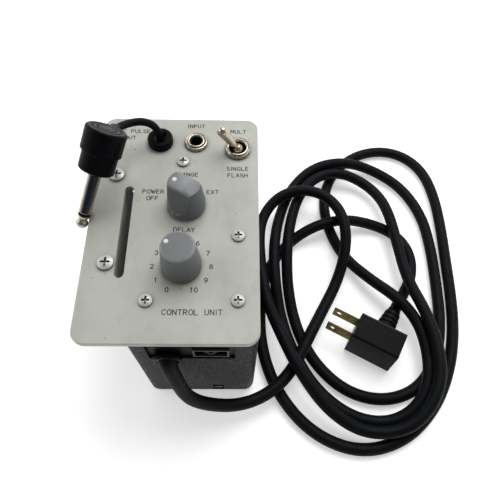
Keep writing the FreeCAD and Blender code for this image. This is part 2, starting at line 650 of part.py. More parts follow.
def make_slide_switch():
    width, tall = dim("switch_width"), dim("switch_tall")
    x, z = dim("switch_across"), dim("switch_height")
    front = case_near + dim("case_wall")
    frame = box("slide_plate", (x - width / 2, front - 1.2, z - tall / 2), (width, 1.2, tall))
    mouth = box("slide_mouth", (x - 7.7, front - 2, z - 3.9), (15.4, 4, 7.8))
    node(cut("slide_frame", frame, mouth), "slide_switch_frame")
    back = front + dim("plate_thick")
    block = box("slide_block", (x - 9.0, back, z - 4.5), (18.0, 8.0, 9.0))
    hollow = box("slide_hollow", (x - 7.6, back - 1, z - 3.4), (15.2, 6, 6.8))
    node(cut("slide_case", block, hollow), "slide_switch_body")
    body = new_body("slider_body")
    wedge = new_sketch(body, "slider_wedge", "XZ_Plane")
    polygon(wedge, [(-4.2, 2.9), (-0.8, -2.9), (0.8, -2.9), (4.2, 2.9)])
    circle(wedge, 0, 0.9, 1.0)
    pad(body, wedge, 4.6)
    place(body, (x, front + 3.8, z))
    node(body, "slide_switch_slider")


# --- Cords -----------------------------------------------------------------------------

def tangent_path(points):
    """Straight runs joined by tangent arcs as large as the runs allow; returns wire and radii."""
    route = [Vector(*point) for point in points]
    edges, radii, start = [], [], route[0]
    for before, corner, after in zip(route, route[1:], route[2:]):
        back, ahead = before - corner, after - corner
        reach = 0.45 * min(back.Length, ahead.Length)
        half_turn = (math.pi - back.getAngle(ahead)) / 2
        radius = reach / math.tan(half_turn)
        back.normalize()
        ahead.normalize()
        first, last = corner + back * reach, corner + ahead * reach
        bisector = (back + ahead).normalize()
        middle = corner + bisector * (radius / math.cos(half_turn) - radius)
        edges += [Part.LineSegment(start, first).toShape(), Part.Arc(first, middle, last).toShape()]
        radii.append(radius)
        start = last
    edges.append(Part.LineSegment(start, route[-1]).toShape())
    return Part.Wire(edges), radii


def make_cord(name, points, alias):
    """Round tube along a route of control points, as thick as the sheet says."""
    diameter = sheet.get(alias)
    path, radii = tangent_path(points)
    direction = Vector(*points[1]) - Vector(*points[0])
    section = Part.Wire(Part.Circle(Vector(*points[0]), direction, diameter / 2).toShape())
    tube = path.makePipeShell([section], True, False)
    cord = doc.addObject("Part::Feature", name)
    cord.Shape = tube
    expected = math.pi * diameter ** 2 / 4 * path.Length
    print(f"{name}: length {path.Length:.0f}, radii", [round(radius) for radius in radii],
          f"volume {tube.Volume:.0f} against {expected:.0f}")
    node(cord, name)


def towards(direction):
    """Turn that brings +Z onto a direction."""
    return Rotation(Z_AXIS, direction)


def unit(start, end):
    return (Vector(*end) - Vector(*start)).normalize()


# --- Mains lead ------------------------------------------------------------------------

def make_mains_strain_relief():
    """Moulded relief: round boss through the plate, elbow, and a slim taper that points down the lead."""
    direction = unit(MAINS_ROUTE[0], MAINS_ROUTE[1])
    taper_length = 18.0
    elbow = Vector(*MAINS_ROUTE[0]) - direction * taper_length
    x, z = elbow.x, elbow.z
    front = case_near + dim("case_wall")
    neck = cylinder("relief_neck", (x, front + dim("plate_thick") + 1.0, z), dim("inlet_neck"),
                    dim("plate_thick") + 4.6, TOWARDS_USER)
    boss = cylinder("relief_boss", (x, case_near, z), 7.0, 1.8, TOWARDS_USER)
    lip = cone("relief_lip", (x, case_near - 1.8, z), 7.0, 6.0, 0.7, TOWARDS_USER)
    retainer = cylinder("relief_retainer", (x, front + dim("plate_thick") + 2.6, z), 6.6, 2.6, TOWARDS_USER)
    arm_start = value_of(case_near) - 1.0
    arm = cylinder("relief_arm", (x, arm_start, z), 4.5, arm_start - elbow.y, TOWARDS_USER)
    joint = ball("relief_elbow", tuple(elbow), 4.5)
    taper = cone("relief_taper", tuple(elbow), 4.5, 4.0, taper_length, towards(direction))
    node(join("relief_blank", neck, boss, lip, retainer, arm, joint, taper), "mains_strain_relief")


PLUG_CENTRE = Vector(118.5, -36.2, 0.4)
PLUG_HEADING = 151.3                     # direction that the blades point, degrees from +X
BLADE_ROLL = 16                          # roll of the pair of blades about that direction, degrees


def on_mains_plug(forward, side, height):
    """Point given along the blades, across them and up from the table."""
    point = PLUG_CENTRE + Rotation(Z_AXIS, PLUG_HEADING).multVec(Vector(forward, side, height))
    return (point.x, point.y, point.z)


def make_mains_plug():
    """Two-blade plug lying on its side, with a ribbed relief out of its far side."""
    length, width, height = dim("mains_plug_length"), dim("mains_plug_width"), dim("mains_plug_height")
    body = new_body("mains_plug_body")
    section = new_sketch(body, "mains_plug_section", "YZ_Plane")
    polygon(section, [(-width / 2, 0), (width / 2 + dim("mains_plug_flare"), 0), (width / 2, height),
                      (-width / 2, height)])
    block = pad(body, section, length, Midplane=True)
    fillet(body, block, 1.3, lambda edge: edge.BoundBox.XLength > 20)
    groove = new_sketch(body, "mains_plug_groove", "YZ_Plane")
    rectangle(groove, 1.7 - width / 2, height - 0.5, 2.2 - width / 2, height + 1)
    pocket(body, groove)
    place(body, tuple(PLUG_CENTRE), Rotation(Z_AXIS, PLUG_HEADING))
    end, before = MAINS_ROUTE[-1], MAINS_ROUTE[-2]
    direction = unit(end, before)
    start = Vector(*end) - direction * 20.5
    relief = cone("plug_relief_taper", tuple(start), 5.6, 4.1, 20.5, towards(direction))
    rings = [cylinder(f"plug_relief_ring_{i}", tuple(start + direction * (4.5 + 3.6 * i)),
                      6.3 - 0.4 * i, 1.8, towards(direction)) for i in range(4)]
    node(join("mains_plug_joined", body, relief, *rings), "mains_plug")
    roll = Rotation(X_AXIS, BLADE_ROLL)
    turn = Rotation(Z_AXIS, PLUG_HEADING) * roll
    half_length, half_pitch = value_of(length) / 2, DIMS["blade_pitch"] / 2

    def on_blade(forward, side, lift):
        return on_mains_plug(*(roll.multVec(Vector(forward, side, lift)) + Vector(0, 0, 11.0)))

    blade_size = (dim("blade_length"), dim("blade_thick"), dim("blade_width"))
    blades = []
    for i, side in enumerate((-half_pitch, half_pitch)):
        corner = on_blade(half_length, side - DIMS["blade_thick"] / 2, -DIMS["blade_width"] / 2)
        hole = on_blade(half_length + DIMS["blade_length"] - 4.0, side + 2, 0)
        strip = box(f"blade_strip_{i}", corner, blade_size, turn)
        drill = cylinder(f"blade_hole_{i}", hole, 1.6, 4, turn * TOWARDS_USER)
        blades.append(cut(f"blade_{i}", strip, drill))
    node(group("blades", blades), "plug_blades")


# --- Phone plug on its pigtail -----------------------------------------------------------

PHONE_TIP = Vector(-46.7, -4.2, 93.2)
PHONE_AXIS = Vector(0.341, 0.581, 0.739).normalize()


def on_phone_plug(distance):
    return tuple(PHONE_TIP + PHONE_AXIS * distance)


def make_signal_bushing():
    """Round strain-relief bushing with a square well that the pigtail comes out of."""
    head = cylinder("bushing_head", above(signal_at, top), dim("signal_head"), 3.6)
    crown = cone("bushing_crown", above(signal_at, top + 3.6), dim("signal_head"), dim("signal_head") - 0.8,
                 0.8)
    neck = cylinder("bushing_neck", above(signal_at, under), dim("signal_neck"), dim("panel_thick") + 0.5)
    stub = cylinder("bushing_stub", above(signal_at, under - 3.0), dim("signal_neck") - 0.8, 3.5)
    well = box("bushing_well", (signal_at[0] - 3.5, signal_at[1] - 3.2, SIGNAL_ROUTE[0][2]), (7.0, 6.8, 6.0))
    node(cut("signal_bushing_cut", join("bushing_blank", head, crown, neck, stub), well), "signal_bushing")


def make_phone_plug():
    turn = towards(PHONE_AXIS)
    bulb = common("phone_tip_bulb", ball("phone_tip_ball", on_phone_plug(2.6), 3.1),
                  cylinder("phone_tip_slab", on_phone_plug(0), 3.2, 4.9, turn))
    waist = cone("phone_tip_waist", on_phone_plug(2.6), 1.8, 2.75, 4.6, turn)
    node(join("phone_tip_joined", bulb, waist), "phone_plug_tip")
    node(cylinder("phone_ring", on_phone_plug(7.2), 2.85, 1.4, turn), "phone_plug_insulator")
    sleeve = cylinder("phone_sleeve", on_phone_plug(8.6), dim("plug_sleeve_radius"), 22.4, turn)
    node(sleeve, "phone_plug_sleeve")
    body = new_body("phone_cap_body")
    profile = new_sketch(body, "phone_cap_profile", "XZ_Plane")
    collar, rim, height = dim("plug_collar_radius"), dim("plug_cap_radius"), 21.3
    groove = height - 0.6
    polygon(profile, [(0, 0), (collar - 0.6, 0), (collar, 0.8), (collar, 9.2), (rim, 9.8),
                      (rim, height - 0.9), (rim - 0.9, height), (6.8, height), (6.6, groove), (5.9, groove),
                      (5.7, height), (4.7, height), (4.5, groove), (3.8, groove), (3.6, height), (0, height)])
    revolve(body, profile)
    place(body, on_phone_plug(31.0), turn)
    direction = unit(SIGNAL_ROUTE[-1], SIGNAL_ROUTE[-2])
    root = Vector(*SIGNAL_ROUTE[-1]) - direction * 8.0
    spout = cylinder("phone_spout", tuple(root), 3.3, 8.0, towards(direction))
    node(join("phone_cap_joined", body, spout), "phone_plug_cap")


make_panel()
make_case()
make_panel_screws()
make_mounting_bracket()
make_posts()
make_board()
make_board_components()
make_connector_plate()
make_range_control()
make_delay_control()
make_jack()
make_toggle()
make_slide_switch()
make_mains_strain_relief()
make_cord("mains_cord", MAINS_ROUTE, "mains_diameter")
make_mains_plug()
make_signal_bushing()
make_cord("signal_cable", SIGNAL_ROUTE, "signal_diameter")
make_phone_plug()

doc.recompute()
for obj in doc.Objects:
    bad = {"Invalid", "Error"} & set(obj.State)
    if bad:
        raise SystemExit(f"{obj.Label} is {bad}")
os.makedirs("parts", exist_ok=True)
for obj in NODES:
    if obj.Shape.isNull() or not obj.Shape.isValid():
        raise SystemExit(f"{obj.Label} has no valid shape")
for obj in NODES:
    obj.Shape.exportStep(f"parts/{obj.Label}.step")
    print(obj.Label, round(obj.Shape.Volume, 1), len(obj.Shape.Solids))
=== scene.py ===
"""Looks of a small flash-delay control box, its phone plug on a pigtail and its looped mains lead.

Lengths below are in millimetres, which MM turns into metres. The camera, the cords, the floor and the lights
are in metres.
"""
import json
import math
import bmesh
import bpy
from mathutils import Matrix, Vector


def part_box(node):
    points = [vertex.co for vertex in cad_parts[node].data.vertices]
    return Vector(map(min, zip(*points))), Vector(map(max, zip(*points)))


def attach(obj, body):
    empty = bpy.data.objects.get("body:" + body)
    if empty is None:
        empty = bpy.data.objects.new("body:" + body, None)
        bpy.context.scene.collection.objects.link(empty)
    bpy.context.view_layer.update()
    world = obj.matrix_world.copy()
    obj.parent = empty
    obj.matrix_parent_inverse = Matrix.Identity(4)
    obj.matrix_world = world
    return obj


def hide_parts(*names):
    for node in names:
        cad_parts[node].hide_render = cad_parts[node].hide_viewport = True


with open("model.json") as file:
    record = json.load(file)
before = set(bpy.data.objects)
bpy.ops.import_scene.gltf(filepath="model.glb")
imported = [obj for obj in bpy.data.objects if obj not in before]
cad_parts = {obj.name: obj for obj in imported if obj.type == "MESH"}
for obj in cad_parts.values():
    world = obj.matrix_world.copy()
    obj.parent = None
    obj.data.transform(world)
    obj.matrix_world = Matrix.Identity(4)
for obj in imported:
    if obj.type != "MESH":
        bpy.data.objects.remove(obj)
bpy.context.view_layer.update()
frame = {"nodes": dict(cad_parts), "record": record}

MM = 0.001
ROOT = "case"
Z_AXIS = Vector((0, 0, 1))
PANEL_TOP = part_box("front_panel")[1].z / MM
SLOT_OF_NODE = {row["node"]: row["material_slot"] for row in frame["record"]["subparts"]}
BODIES = frame["record"]["behaviour"]["bodies"]
BODY_OF_NODE = {node: body for body, nodes in BODIES.items() for node in nodes}


# --- Camera -----------------------------------------------------------------------------

def make_camera():
    camera = bpy.data.objects.new("camera", bpy.data.cameras.new("camera"))
    bpy.context.scene.collection.objects.link(camera)
    camera.location = (0.03202, -0.13097, 0.31160)
    camera.rotation_euler = [math.radians(angle) for angle in (27.724, -1.440, -0.231)]
    camera.data.sensor_width = 36
    camera.data.lens = 36
    camera.data.clip_start = 0.01
    bpy.context.scene.camera = camera


# --- Materials --------------------------------------------------------------------------

class Finish:
    """A procedural material under construction: one shader with masks for colour, roughness and relief."""

    def __init__(self, name, color, roughness, metallic=0.0, coat=0.0, specular=0.5):
        self.material = bpy.data.materials.new(name)
        self.material.use_nodes = True
        self.tree = self.material.node_tree
        self.shader = self.tree.nodes["Principled BSDF"]
        self.coordinates = self.tree.nodes.new("ShaderNodeTexCoord")
        self.color = color
        self.shader.inputs["Base Color"].default_value = (*color, 1)
        self.shader.inputs["Roughness"].default_value = roughness
        self.shader.inputs["Metallic"].default_value = metallic
        self.shader.inputs["Coat Weight"].default_value = coat
        self.shader.inputs["Specular IOR Level"].default_value = specular
        self.material.diffuse_color = (*color, 1)

    def add(self, kind, **values):
        made = self.tree.nodes.new(kind)
        for key, value in values.items():
            setattr(made, key, value)
        return made

    def link(self, output, socket):
        self.tree.links.new(output, socket)

    def noise(self, size, detail=3.0, stretch=(1, 1, 1), rough=0.55):
        """Noise whose features are about size millimetres across."""
        mapping = self.add("ShaderNodeMapping")
        mapping.inputs["Scale"].default_value = stretch
        self.link(self.coordinates.outputs["Object"], mapping.inputs["Vector"])
        texture = self.add("ShaderNodeTexNoise")
        texture.inputs["Scale"].default_value = 1 / (size * MM)
        texture.inputs["Detail"].default_value = detail
        texture.inputs["Roughness"].default_value = rough
        self.link(mapping.outputs["Vector"], texture.inputs["Vector"])
        return texture.outputs["Fac"]

    def cells(self, size, stretch=(1, 1, 1)):
        """Distance to the nearest border in a pattern of cells about size millimetres across."""
        mapping = self.add("ShaderNodeMapping")
        mapping.inputs["Scale"].default_value = stretch
        self.link(self.coordinates.outputs["Object"], mapping.inputs["Vector"])
        texture = self.add("ShaderNodeTexVoronoi", feature="DISTANCE_TO_EDGE")
        texture.inputs["Scale"].default_value = 1 / (size * MM)
        self.link(mapping.outputs["Vector"], texture.inputs["Vector"])
        return texture.outputs["Distance"]

    def levels(self, value, low, high, out_low=0.0, out_high=1.0):
        """Stretch a value from low..high to out_low..out_high, clamped."""
        node = self.add("ShaderNodeMapRange")
        numbers = (("From Min", low), ("From Max", high), ("To Min", out_low), ("To Max", out_high))
        for key, number in numbers:
            node.inputs[key].default_value = number
        self.link(value, node.inputs["Value"])
        return node.outputs["Result"]

    def tint(self, mask, color):
        """Blend the surface towards a colour where the mask is high."""
        mixer = self.add("ShaderNodeMix", data_type="RGBA")
        base = self.shader.inputs["Base Color"]
        if base.links:
            self.link(base.links[0].from_socket, mixer.inputs[6])
        else:
            mixer.inputs[6].default_value = (*self.color, 1)
        mixer.inputs[7].default_value = (*color, 1)
        self.link(mask, mixer.inputs[0])
        self.link(mixer.outputs[2], base)

    def roughen(self, value, low, high):
        """Let noise drive the roughness between two values."""
        self.link(self.levels(value, 0.3, 0.7, low, high), self.shader.inputs["Roughness"])

    def relief(self, height, depth, strength=1.0):
        """Bump whose full swing is depth millimetres; each call adds to the last."""
        node = self.add("ShaderNodeBump")
        node.inputs["Distance"].default_value = depth * MM
        node.inputs["Strength"].default_value = strength
        self.link(height, node.inputs["Height"])
        normal = self.shader.inputs["Normal"]
        if normal.links:
            self.link(normal.links[0].from_socket, node.inputs["Normal"])
        self.link(node.outputs["Normal"], normal)

    def product(self, first, second):
        node = self.add("ShaderNodeMath", operation="MULTIPLY")
        self.link(first, node.inputs[0])
        self.link(second, node.inputs[1])
        return node.outputs["Value"]

    def shoulders(self):
        """Mask of the rounded shoulder between an upright side and a level top."""
        split = self.add("ShaderNodeSeparateXYZ")
        self.link(self.coordinates.outputs["Normal"], split.inputs["Vector"])
        lift = split.outputs["Z"]
        return self.product(self.levels(lift, 0.30, 0.55), self.levels(lift, 0.86, 0.97, 1.0, 0.0))

    def edges(self, low, high):
        """Mask of convex edges, from a low to a high sharpness; 0.5 is flat."""
        geometry = self.add("ShaderNodeNewGeometry")
        return self.levels(geometry.outputs["Pointiness"], low, high)

    def crevices(self, reach, color, amount=1.0):
        """Paint shade into places that have other surfaces within reach millimetres of them, by an occlusion
        node.
        """
        occlusion = self.add("ShaderNodeAmbientOcclusion", samples=8)
        occlusion.inputs["Distance"].default_value = reach * MM
        self.tint(self.levels(occlusion.outputs["AO"], 0.55, 0.95, amount, 0.0), color)


def scaled(color, factor):
    return tuple(channel * factor for channel in color)


def make_panel_enamel():
    """Satin grey-green enamel with faint smudges, a few specks and painted shade where parts meet it."""
    base = (0.385, 0.392, 0.350)
    finish = Finish("panel_enamel", base, 0.5, coat=0.05, specular=0.35)
    finish.tint(finish.levels(finish.noise(30, 4), 0.40, 0.62, 0.0, 0.6), scaled(base, 0.84))
    smudges = finish.noise(11, 6, (1, 0.5, 1), 0.65)
    finish.tint(finish.levels(smudges, 0.52, 0.70, 0.0, 0.5), scaled(base, 0.74))
    finish.tint(finish.levels(finish.noise(3.0, 5, (1, 0.35, 1)), 0.50, 0.75, 0.0, 0.30), scaled(base, 0.84))
    finish.tint(finish.levels(finish.noise(2.3, 1), 0.77, 0.80, 0.0, 0.8), (0.15, 0.145, 0.12))
    # Painted shade: an occlusion node darkens the enamel where parts meet it.
    finish.crevices(2.5, scaled(base, 0.45), 0.7)
    finish.roughen(finish.noise(5, 4), 0.42, 0.60)
    finish.relief(finish.noise(0.7, 3), 0.012)
    finish.relief(finish.noise(5, 2, (1, 0.1, 1)), 0.010)
    return finish.material


def make_wrinkle_paint():
    """Dark enamel in fine wrinkles that run across the case."""
    base = (0.0042, 0.0047, 0.0058)
    finish = Finish("wrinkle_paint", base, 0.5, specular=0.09)
    crests = finish.levels(finish.noise(1.2, 2, (0.22, 0.22, 1.3), 0.7), 0.43, 0.58)
    finish.tint(crests, (0.0185, 0.0200, 0.0230))
    finish.tint(finish.levels(finish.noise(9, 4), 0.55, 0.8, 0.0, 0.5), (0.026, 0.0275, 0.030))
    finish.roughen(finish.noise(1.2, 2), 0.38, 0.62)
    finish.relief(crests, 0.30, 0.9)
    finish.relief(finish.cells(1.0, (0.5, 0.5, 1.4)), 0.14, 0.5)
    return finish.material


def make_plate_paint():
    """Smooth dark enamel of the plate in the case's window."""
    base = (0.0028, 0.0031, 0.0039)
    finish = Finish("plate_enamel", base, 0.42, specular=0.06)
    finish.tint(finish.levels(finish.noise(3, 5), 0.5, 0.76, 0.0, 0.6), (0.013, 0.014, 0.0165))
    finish.roughen(finish.noise(1.5, 4), 0.34, 0.56)
    finish.relief(finish.noise(0.5, 3), 0.015)
    return finish.material


def make_knob_plastic():
    """Satin grey moulding, worn pale on its shoulders and scuffed down its sides."""
    base = (0.104, 0.111, 0.114)
    finish = Finish("knob_plastic", base, 0.45, specular=0.40)
    finish.tint(finish.levels(finish.noise(4, 4), 0.45, 0.7, 0.0, 0.4), scaled(base, 0.84))
    finish.tint(finish.edges(0.504, 0.535), scaled(base, 2.1))
    finish.tint(finish.levels(finish.noise(0.9, 5, (1, 0.25, 1)), 0.60, 0.76, 0.0, 0.6), scaled(base, 1.5))
    worn = finish.product(finish.shoulders(), finish.levels(finish.noise(1.3, 4), 0.42, 0.60, 0.15, 0.8))
    finish.tint(worn, scaled(base, 2.1))
    finish.roughen(finish.noise(1.6, 4), 0.36, 0.54)
    finish.relief(finish.noise(0.25, 2), 0.008)
    return finish.material


def make_nickel():
    """Bright nickel with warm tarnish and painted shade in its corners."""
    base = (0.42, 0.375, 0.31)
    finish = Finish("worn_nickel", base, 0.2, metallic=1.0)
    finish.tint(finish.levels(finish.noise(3.5, 3), 0.48, 0.75, 0.0, 0.6), (0.23, 0.19, 0.14))
    # Painted shade: an occlusion node darkens the nickel in its corners.
    finish.crevices(0.8, (0.10, 0.085, 0.06), 0.8)
    finish.roughen(finish.noise(2.5, 3), 0.16, 0.28)
    finish.relief(finish.noise(1.2, 2), 0.004)
    return finish.material


def make_sleeve_nickel():
    """Polished nickel with a painted reflection: dark bluish where it is seen square on and bright towards
    its outline.
    """
    finish = Finish("sleeve_painted_reflection", (0.035, 0.040, 0.065), 0.14, metallic=1.0)
    # Painted reflection: a dark bluish base, blended to pale metal towards the outline by the viewing angle.
    reflection_by_angle = finish.add("ShaderNodeLayerWeight").outputs["Facing"]
    finish.tint(finish.levels(reflection_by_angle, 0.16, 0.48), (0.46, 0.42, 0.33))
    finish.tint(finish.levels(finish.noise(3.0, 4, (1, 1, 0.4)), 0.52, 0.78, 0.0, 0.5), (0.12, 0.105, 0.085))
    finish.roughen(finish.noise(2.0, 3), 0.12, 0.24)
    finish.relief(finish.noise(1.0, 2), 0.004)
    return finish.material


def make_steel(name, base, low, high, metallic=1.0):
    """Plain metal, patchily dull, with painted shade that turns its recesses black, and a roughness between
    low and high.
    """
    finish = Finish(name, base, 0.4, metallic=metallic)
    finish.tint(finish.levels(finish.noise(1.5, 4), 0.5, 0.78, 0.0, 0.5), scaled(base, 0.62))
    # Painted shade: an occlusion node turns the recesses nearly black.
    finish.crevices(1.3, scaled(base, 0.06))
    finish.roughen(finish.noise(1.2, 3), low, high)
    finish.relief(finish.noise(0.5, 3), 0.008)
    return finish.material


def make_bracket_steel(name="olive_plated_steel", base=(0.36, 0.35, 0.295)):
    """Dull plating with stains that run across it."""
    finish = Finish(name, base, 0.5, metallic=0.3)
    finish.tint(finish.levels(finish.noise(6, 5, (1, 1, 3)), 0.44, 0.7, 0.0, 0.7), scaled(base, 0.55))
    finish.roughen(finish.noise(2, 4), 0.4, 0.62)
    finish.relief(finish.noise(0.4, 3), 0.014)
    return finish.material


def make_moulding():
    """Black moulding with a little dust on it and a painted highlight along its edges."""
    base = (0.0022, 0.0025, 0.0033)
    finish = Finish("black_moulding", base, 0.34, specular=0.045)
    finish.tint(finish.levels(finish.noise(2.5, 5), 0.52, 0.80, 0.0, 0.5), (0.006, 0.0064, 0.0076))
    # Painted highlight: convex edges, picked out by pointiness, are paler.
    finish.tint(finish.edges(0.53, 0.60), (0.024, 0.025, 0.029))
    finish.roughen(finish.noise(1.3, 4), 0.28, 0.46)
    finish.relief(finish.noise(0.3, 2), 0.008)
    return finish.material


def make_jacket():
    """Matt black jacket of the cords, faintly uneven along its length."""
    base = (0.0034, 0.0039, 0.0050)
    finish = Finish("cord_jacket", base, 0.50, specular=0.07)
    finish.tint(finish.levels(finish.noise(11, 4), 0.45, 0.75, 0.0, 0.6), (0.0068, 0.0074, 0.0086))
    finish.tint(finish.levels(finish.noise(1.1, 5), 0.66, 0.82, 0.0, 0.4), (0.012, 0.0128, 0.0145))
    finish.roughen(finish.noise(2.2, 4), 0.40, 0.60)
    finish.relief(finish.noise(0.35, 3), 0.014)
    finish.relief(finish.noise(6, 2), 0.060)
    return finish.material


def make_brass():
    """Dull brown brass with darker patches and edges."""
    base = (0.17, 0.135, 0.05)
    finish = Finish("dull_brass", base, 0.34, metallic=1.0)
    finish.tint(finish.levels(finish.noise(2.2, 4), 0.42, 0.62, 0.0, 0.85), (0.070, 0.053, 0.018))
    finish.tint(finish.edges(0.51, 0.56), (0.035, 0.026, 0.010))
    finish.roughen(finish.noise(0.9, 3), 0.22, 0.42)
    finish.relief(finish.noise(0.6, 3, (1, 1, 3)), 0.010)
    return finish.material


def make_laminate():
    """Brown laminated board with a grain along it."""
    base = (0.24, 0.15, 0.07)
    finish = Finish("laminate", base, 0.45)
    finish.tint(finish.levels(finish.noise(1.2, 4, (1, 4, 1)), 0.4, 0.65, 0.0, 0.6), scaled(base, 0.6))
    finish.roughen(finish.noise(2, 3), 0.35, 0.55)
    finish.relief(finish.noise(0.5, 2, (1, 4, 1)), 0.015)
    return finish.material


def make_varnish():
    """Varnished stack of iron sheets."""
    base = (0.05, 0.04, 0.034)
    finish = Finish("varnished_iron", base, 0.35, coat=0.3)
    finish.tint(finish.levels(finish.noise(1.0, 3, (0.1, 0.1, 3)), 0.42, 0.6, 0.0, 0.8), (0.10, 0.08, 0.06))
    finish.roughen(finish.noise(2, 3), 0.25, 0.5)
    finish.relief(finish.noise(0.6, 2, (0.1, 0.1, 3)), 0.05)
    return finish.material


def make_resistor_lacquer():
    """Brown lacquer with yellow bands."""
    base = (0.25, 0.12, 0.06)
    finish = Finish("resistor_lacquer", base, 0.25, coat=0.4)
    finish.tint(finish.levels(finish.noise(1.1, 1, (2, 0.1, 0.1)), 0.56, 0.60), (0.5, 0.36, 0.08))
    finish.relief(finish.noise(0.8, 2), 0.02)
    return finish.material


def make_ink(name, base, faded, roughest):
    """Ink or paint whose patches are faded times as bright."""
    finish = Finish(name, base, 0.5)
    finish.tint(finish.levels(finish.noise(0.5, 4), 0.52, 0.72, 0.0, 0.55), scaled(base, faded))
    finish.roughen(finish.noise(0.6, 3), 0.4, roughest)
    finish.relief(finish.noise(0.2, 2), 0.006)
    return finish.material


MATERIALS = {
    "panel_paint": make_panel_enamel(),
    "case_paint": make_wrinkle_paint(),
    "plate_paint": make_plate_paint(),
    "inner_steel": make_bracket_steel(),
    "screw_steel": make_steel("plated_screw_steel", (0.43, 0.43, 0.41), 0.36, 0.52, 0.4),
    "nickel": make_nickel(),
    "knob_plastic": make_knob_plastic(),
    "black_plastic": make_moulding(),
    "cord_jacket": make_jacket(),
    "blade_brass": make_brass(),
    "laminate": make_laminate(),
    "contact_metal": make_steel("tinned_contacts", (0.55, 0.52, 0.42), 0.3, 0.5),
    "transformer_iron": make_varnish(),
    "can_aluminium": make_steel("drawn_aluminium", (0.62, 0.62, 0.62), 0.28, 0.45),
    "resistor_body": make_resistor_lacquer(),
}
SLEEVE_PAINTED_REFLECTION = make_sleeve_nickel()
# Painted shade: a copy of the olive plating ten times darker, for the switch frame and the case catch.
SHADED_PLATING = make_bracket_steel("shaded_plating", (0.036, 0.035, 0.029))
LEGEND_INK = make_ink("legend_ink", (0.013, 0.013, 0.0125), 1.8, 0.65)
DOT_PAINT = make_ink("dot_paint", (0.60, 0.585, 0.50), 0.72, 0.7)


# --- Mesh helpers -----------------------------------------------------------------------

def along(axis):
    """Matrix that turns +Z onto an axis."""
    return Z_AXIS.rotation_difference(Vector(axis)).to_matrix().to_4x4()


def add_piece(name, mesh, slot, replaces=(), body=ROOT, material=None, sharp=38):
    """Link a finished mesh, smooth it, and hang it on its body."""
    for face in mesh.polygons:
        face.use_smooth = True
    mesh.set_sharp_from_angle(angle=math.radians(sharp))
    piece = bpy.data.objects.new(name, mesh)
    bpy.context.scene.collection.objects.link(piece)
    mesh.materials.clear()
    mesh.materials.append(material or MATERIALS[slot])
    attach(piece, body)
    if replaces:
        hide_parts(*replaces)
    return piece


def mesh_from(bm, name, matrix=None):
    """Turn a bmesh in millimetres into a mesh in metres."""
    bm.normal_update()
    if matrix is not None:
        bm.transform(matrix)
    bm.transform(Matrix.Scale(MM, 4))
    bmesh.ops.recalc_face_normals(bm, faces=bm.faces)
    mesh = bpy.data.meshes.new(name)
    bm.to_mesh(mesh)
    bm.free()
    return mesh


def softened(profile, radius, steps=4):
    """Profile points with each corner between two ends rounded by a small arc."""
    points = [Vector(point) for point in profile]
    result = [points[0]]
    for before, corner, after in zip(points, points[1:], points[2:]):
        back, ahead = before - corner, after - corner
        reach = min(radius, back.length * 0.45, ahead.length * 0.45)
        start, end = corner + back.normalized() * reach, corner + ahead.normalized() * reach
        for step in range(steps + 1):
            t = step / steps
            result.append(start * (1 - t) ** 2 + corner * 2 * t * (1 - t) + end * t ** 2)
    return result + [points[-1]]


def turned(profile, segments=96, radius=0.25, ripple=None, steps=4):
    """Solid of revolution about Z from (radius, height) points; ripple(angle, r, z) may change the radius."""
    bm = bmesh.new()
    rings = []
    for r, z in softened(profile, radius, steps):
        if r < 1e-6:
            rings.append([bm.verts.new((0, 0, z))])
            continue
        ring = []
        for i in range(segments):
            angle = 2 * math.pi * i / segments
            reach = ripple(angle, r, z) if ripple else r
            ring.append(bm.verts.new((reach * math.cos(angle), reach * math.sin(angle), z)))
        rings.append(ring)
    for low, high in zip(rings, rings[1:]):
        for i in range(segments):
            j = (i + 1) % segments
            corners = [low[i % len(low)], low[j % len(low)], high[j % len(high)], high[i % len(high)]]
            unique = list(dict.fromkeys(corners))
            if len(unique) > 2:
                bm.faces.new(unique)
    if len(rings[0]) > 1 and len(rings[-1]) > 1:
        for i in range(segments):
            j = (i + 1) % segments
            bm.faces.new([rings[-1][i], rings[-1][j], rings[0][j], rings[0][i]])
    return bm


def turned_piece(name, profile, at, axis, slot, replaces=(), body=ROOT, material=None, **options):
    """Turned solid, stood on a point with its axis along a direction."""
    bm = turned(profile, **options)
    matrix = Matrix.Translation(Vector(at)) @ along(axis)
    return add_piece(name, mesh_from(bm, name, matrix), slot, replaces, body, material)


SHARP_TURN = math.radians(28)


def refine(node, width, material=None, shortest=0.0, segments=3):
    """Stand-in for a CAD node with the same faces, whose sharp edges over a shortest length are broken."""
    source = frame["nodes"][node].data
    bm = bmesh.new()
    bm.from_mesh(source)
    bm.transform(Matrix.Scale(1 / MM, 4))
    bmesh.ops.remove_doubles(bm, verts=bm.verts, dist=0.002)
    bmesh.ops.dissolve_limit(bm, angle_limit=math.radians(0.4), verts=bm.verts, edges=bm.edges)
    sharp = [edge for edge in bm.edges
             if len(edge.link_faces) == 2 and edge.calc_face_angle(0) > SHARP_TURN
             and edge.calc_length() > shortest]
    bmesh.ops.bevel(bm, geom=sharp, offset=width, offset_type="OFFSET", segments=segments, profile=0.5,
                    affect="EDGES", clamp_overlap=True)
    bmesh.ops.triangulate(bm, faces=[face for face in bm.faces if len(face.verts) > 4])
    piece = add_piece(node + "_finished", mesh_from(bm, node + "_finished"), SLOT_OF_NODE[node], (node,),
                      BODY_OF_NODE[node], material, sharp=45)
    weighted = piece.modifiers.new("weighted_normals", "WEIGHTED_NORMAL")
    weighted.keep_sharp = True
    weighted.weight = 80
    return piece


# --- Cords ------------------------------------------------------------------------------

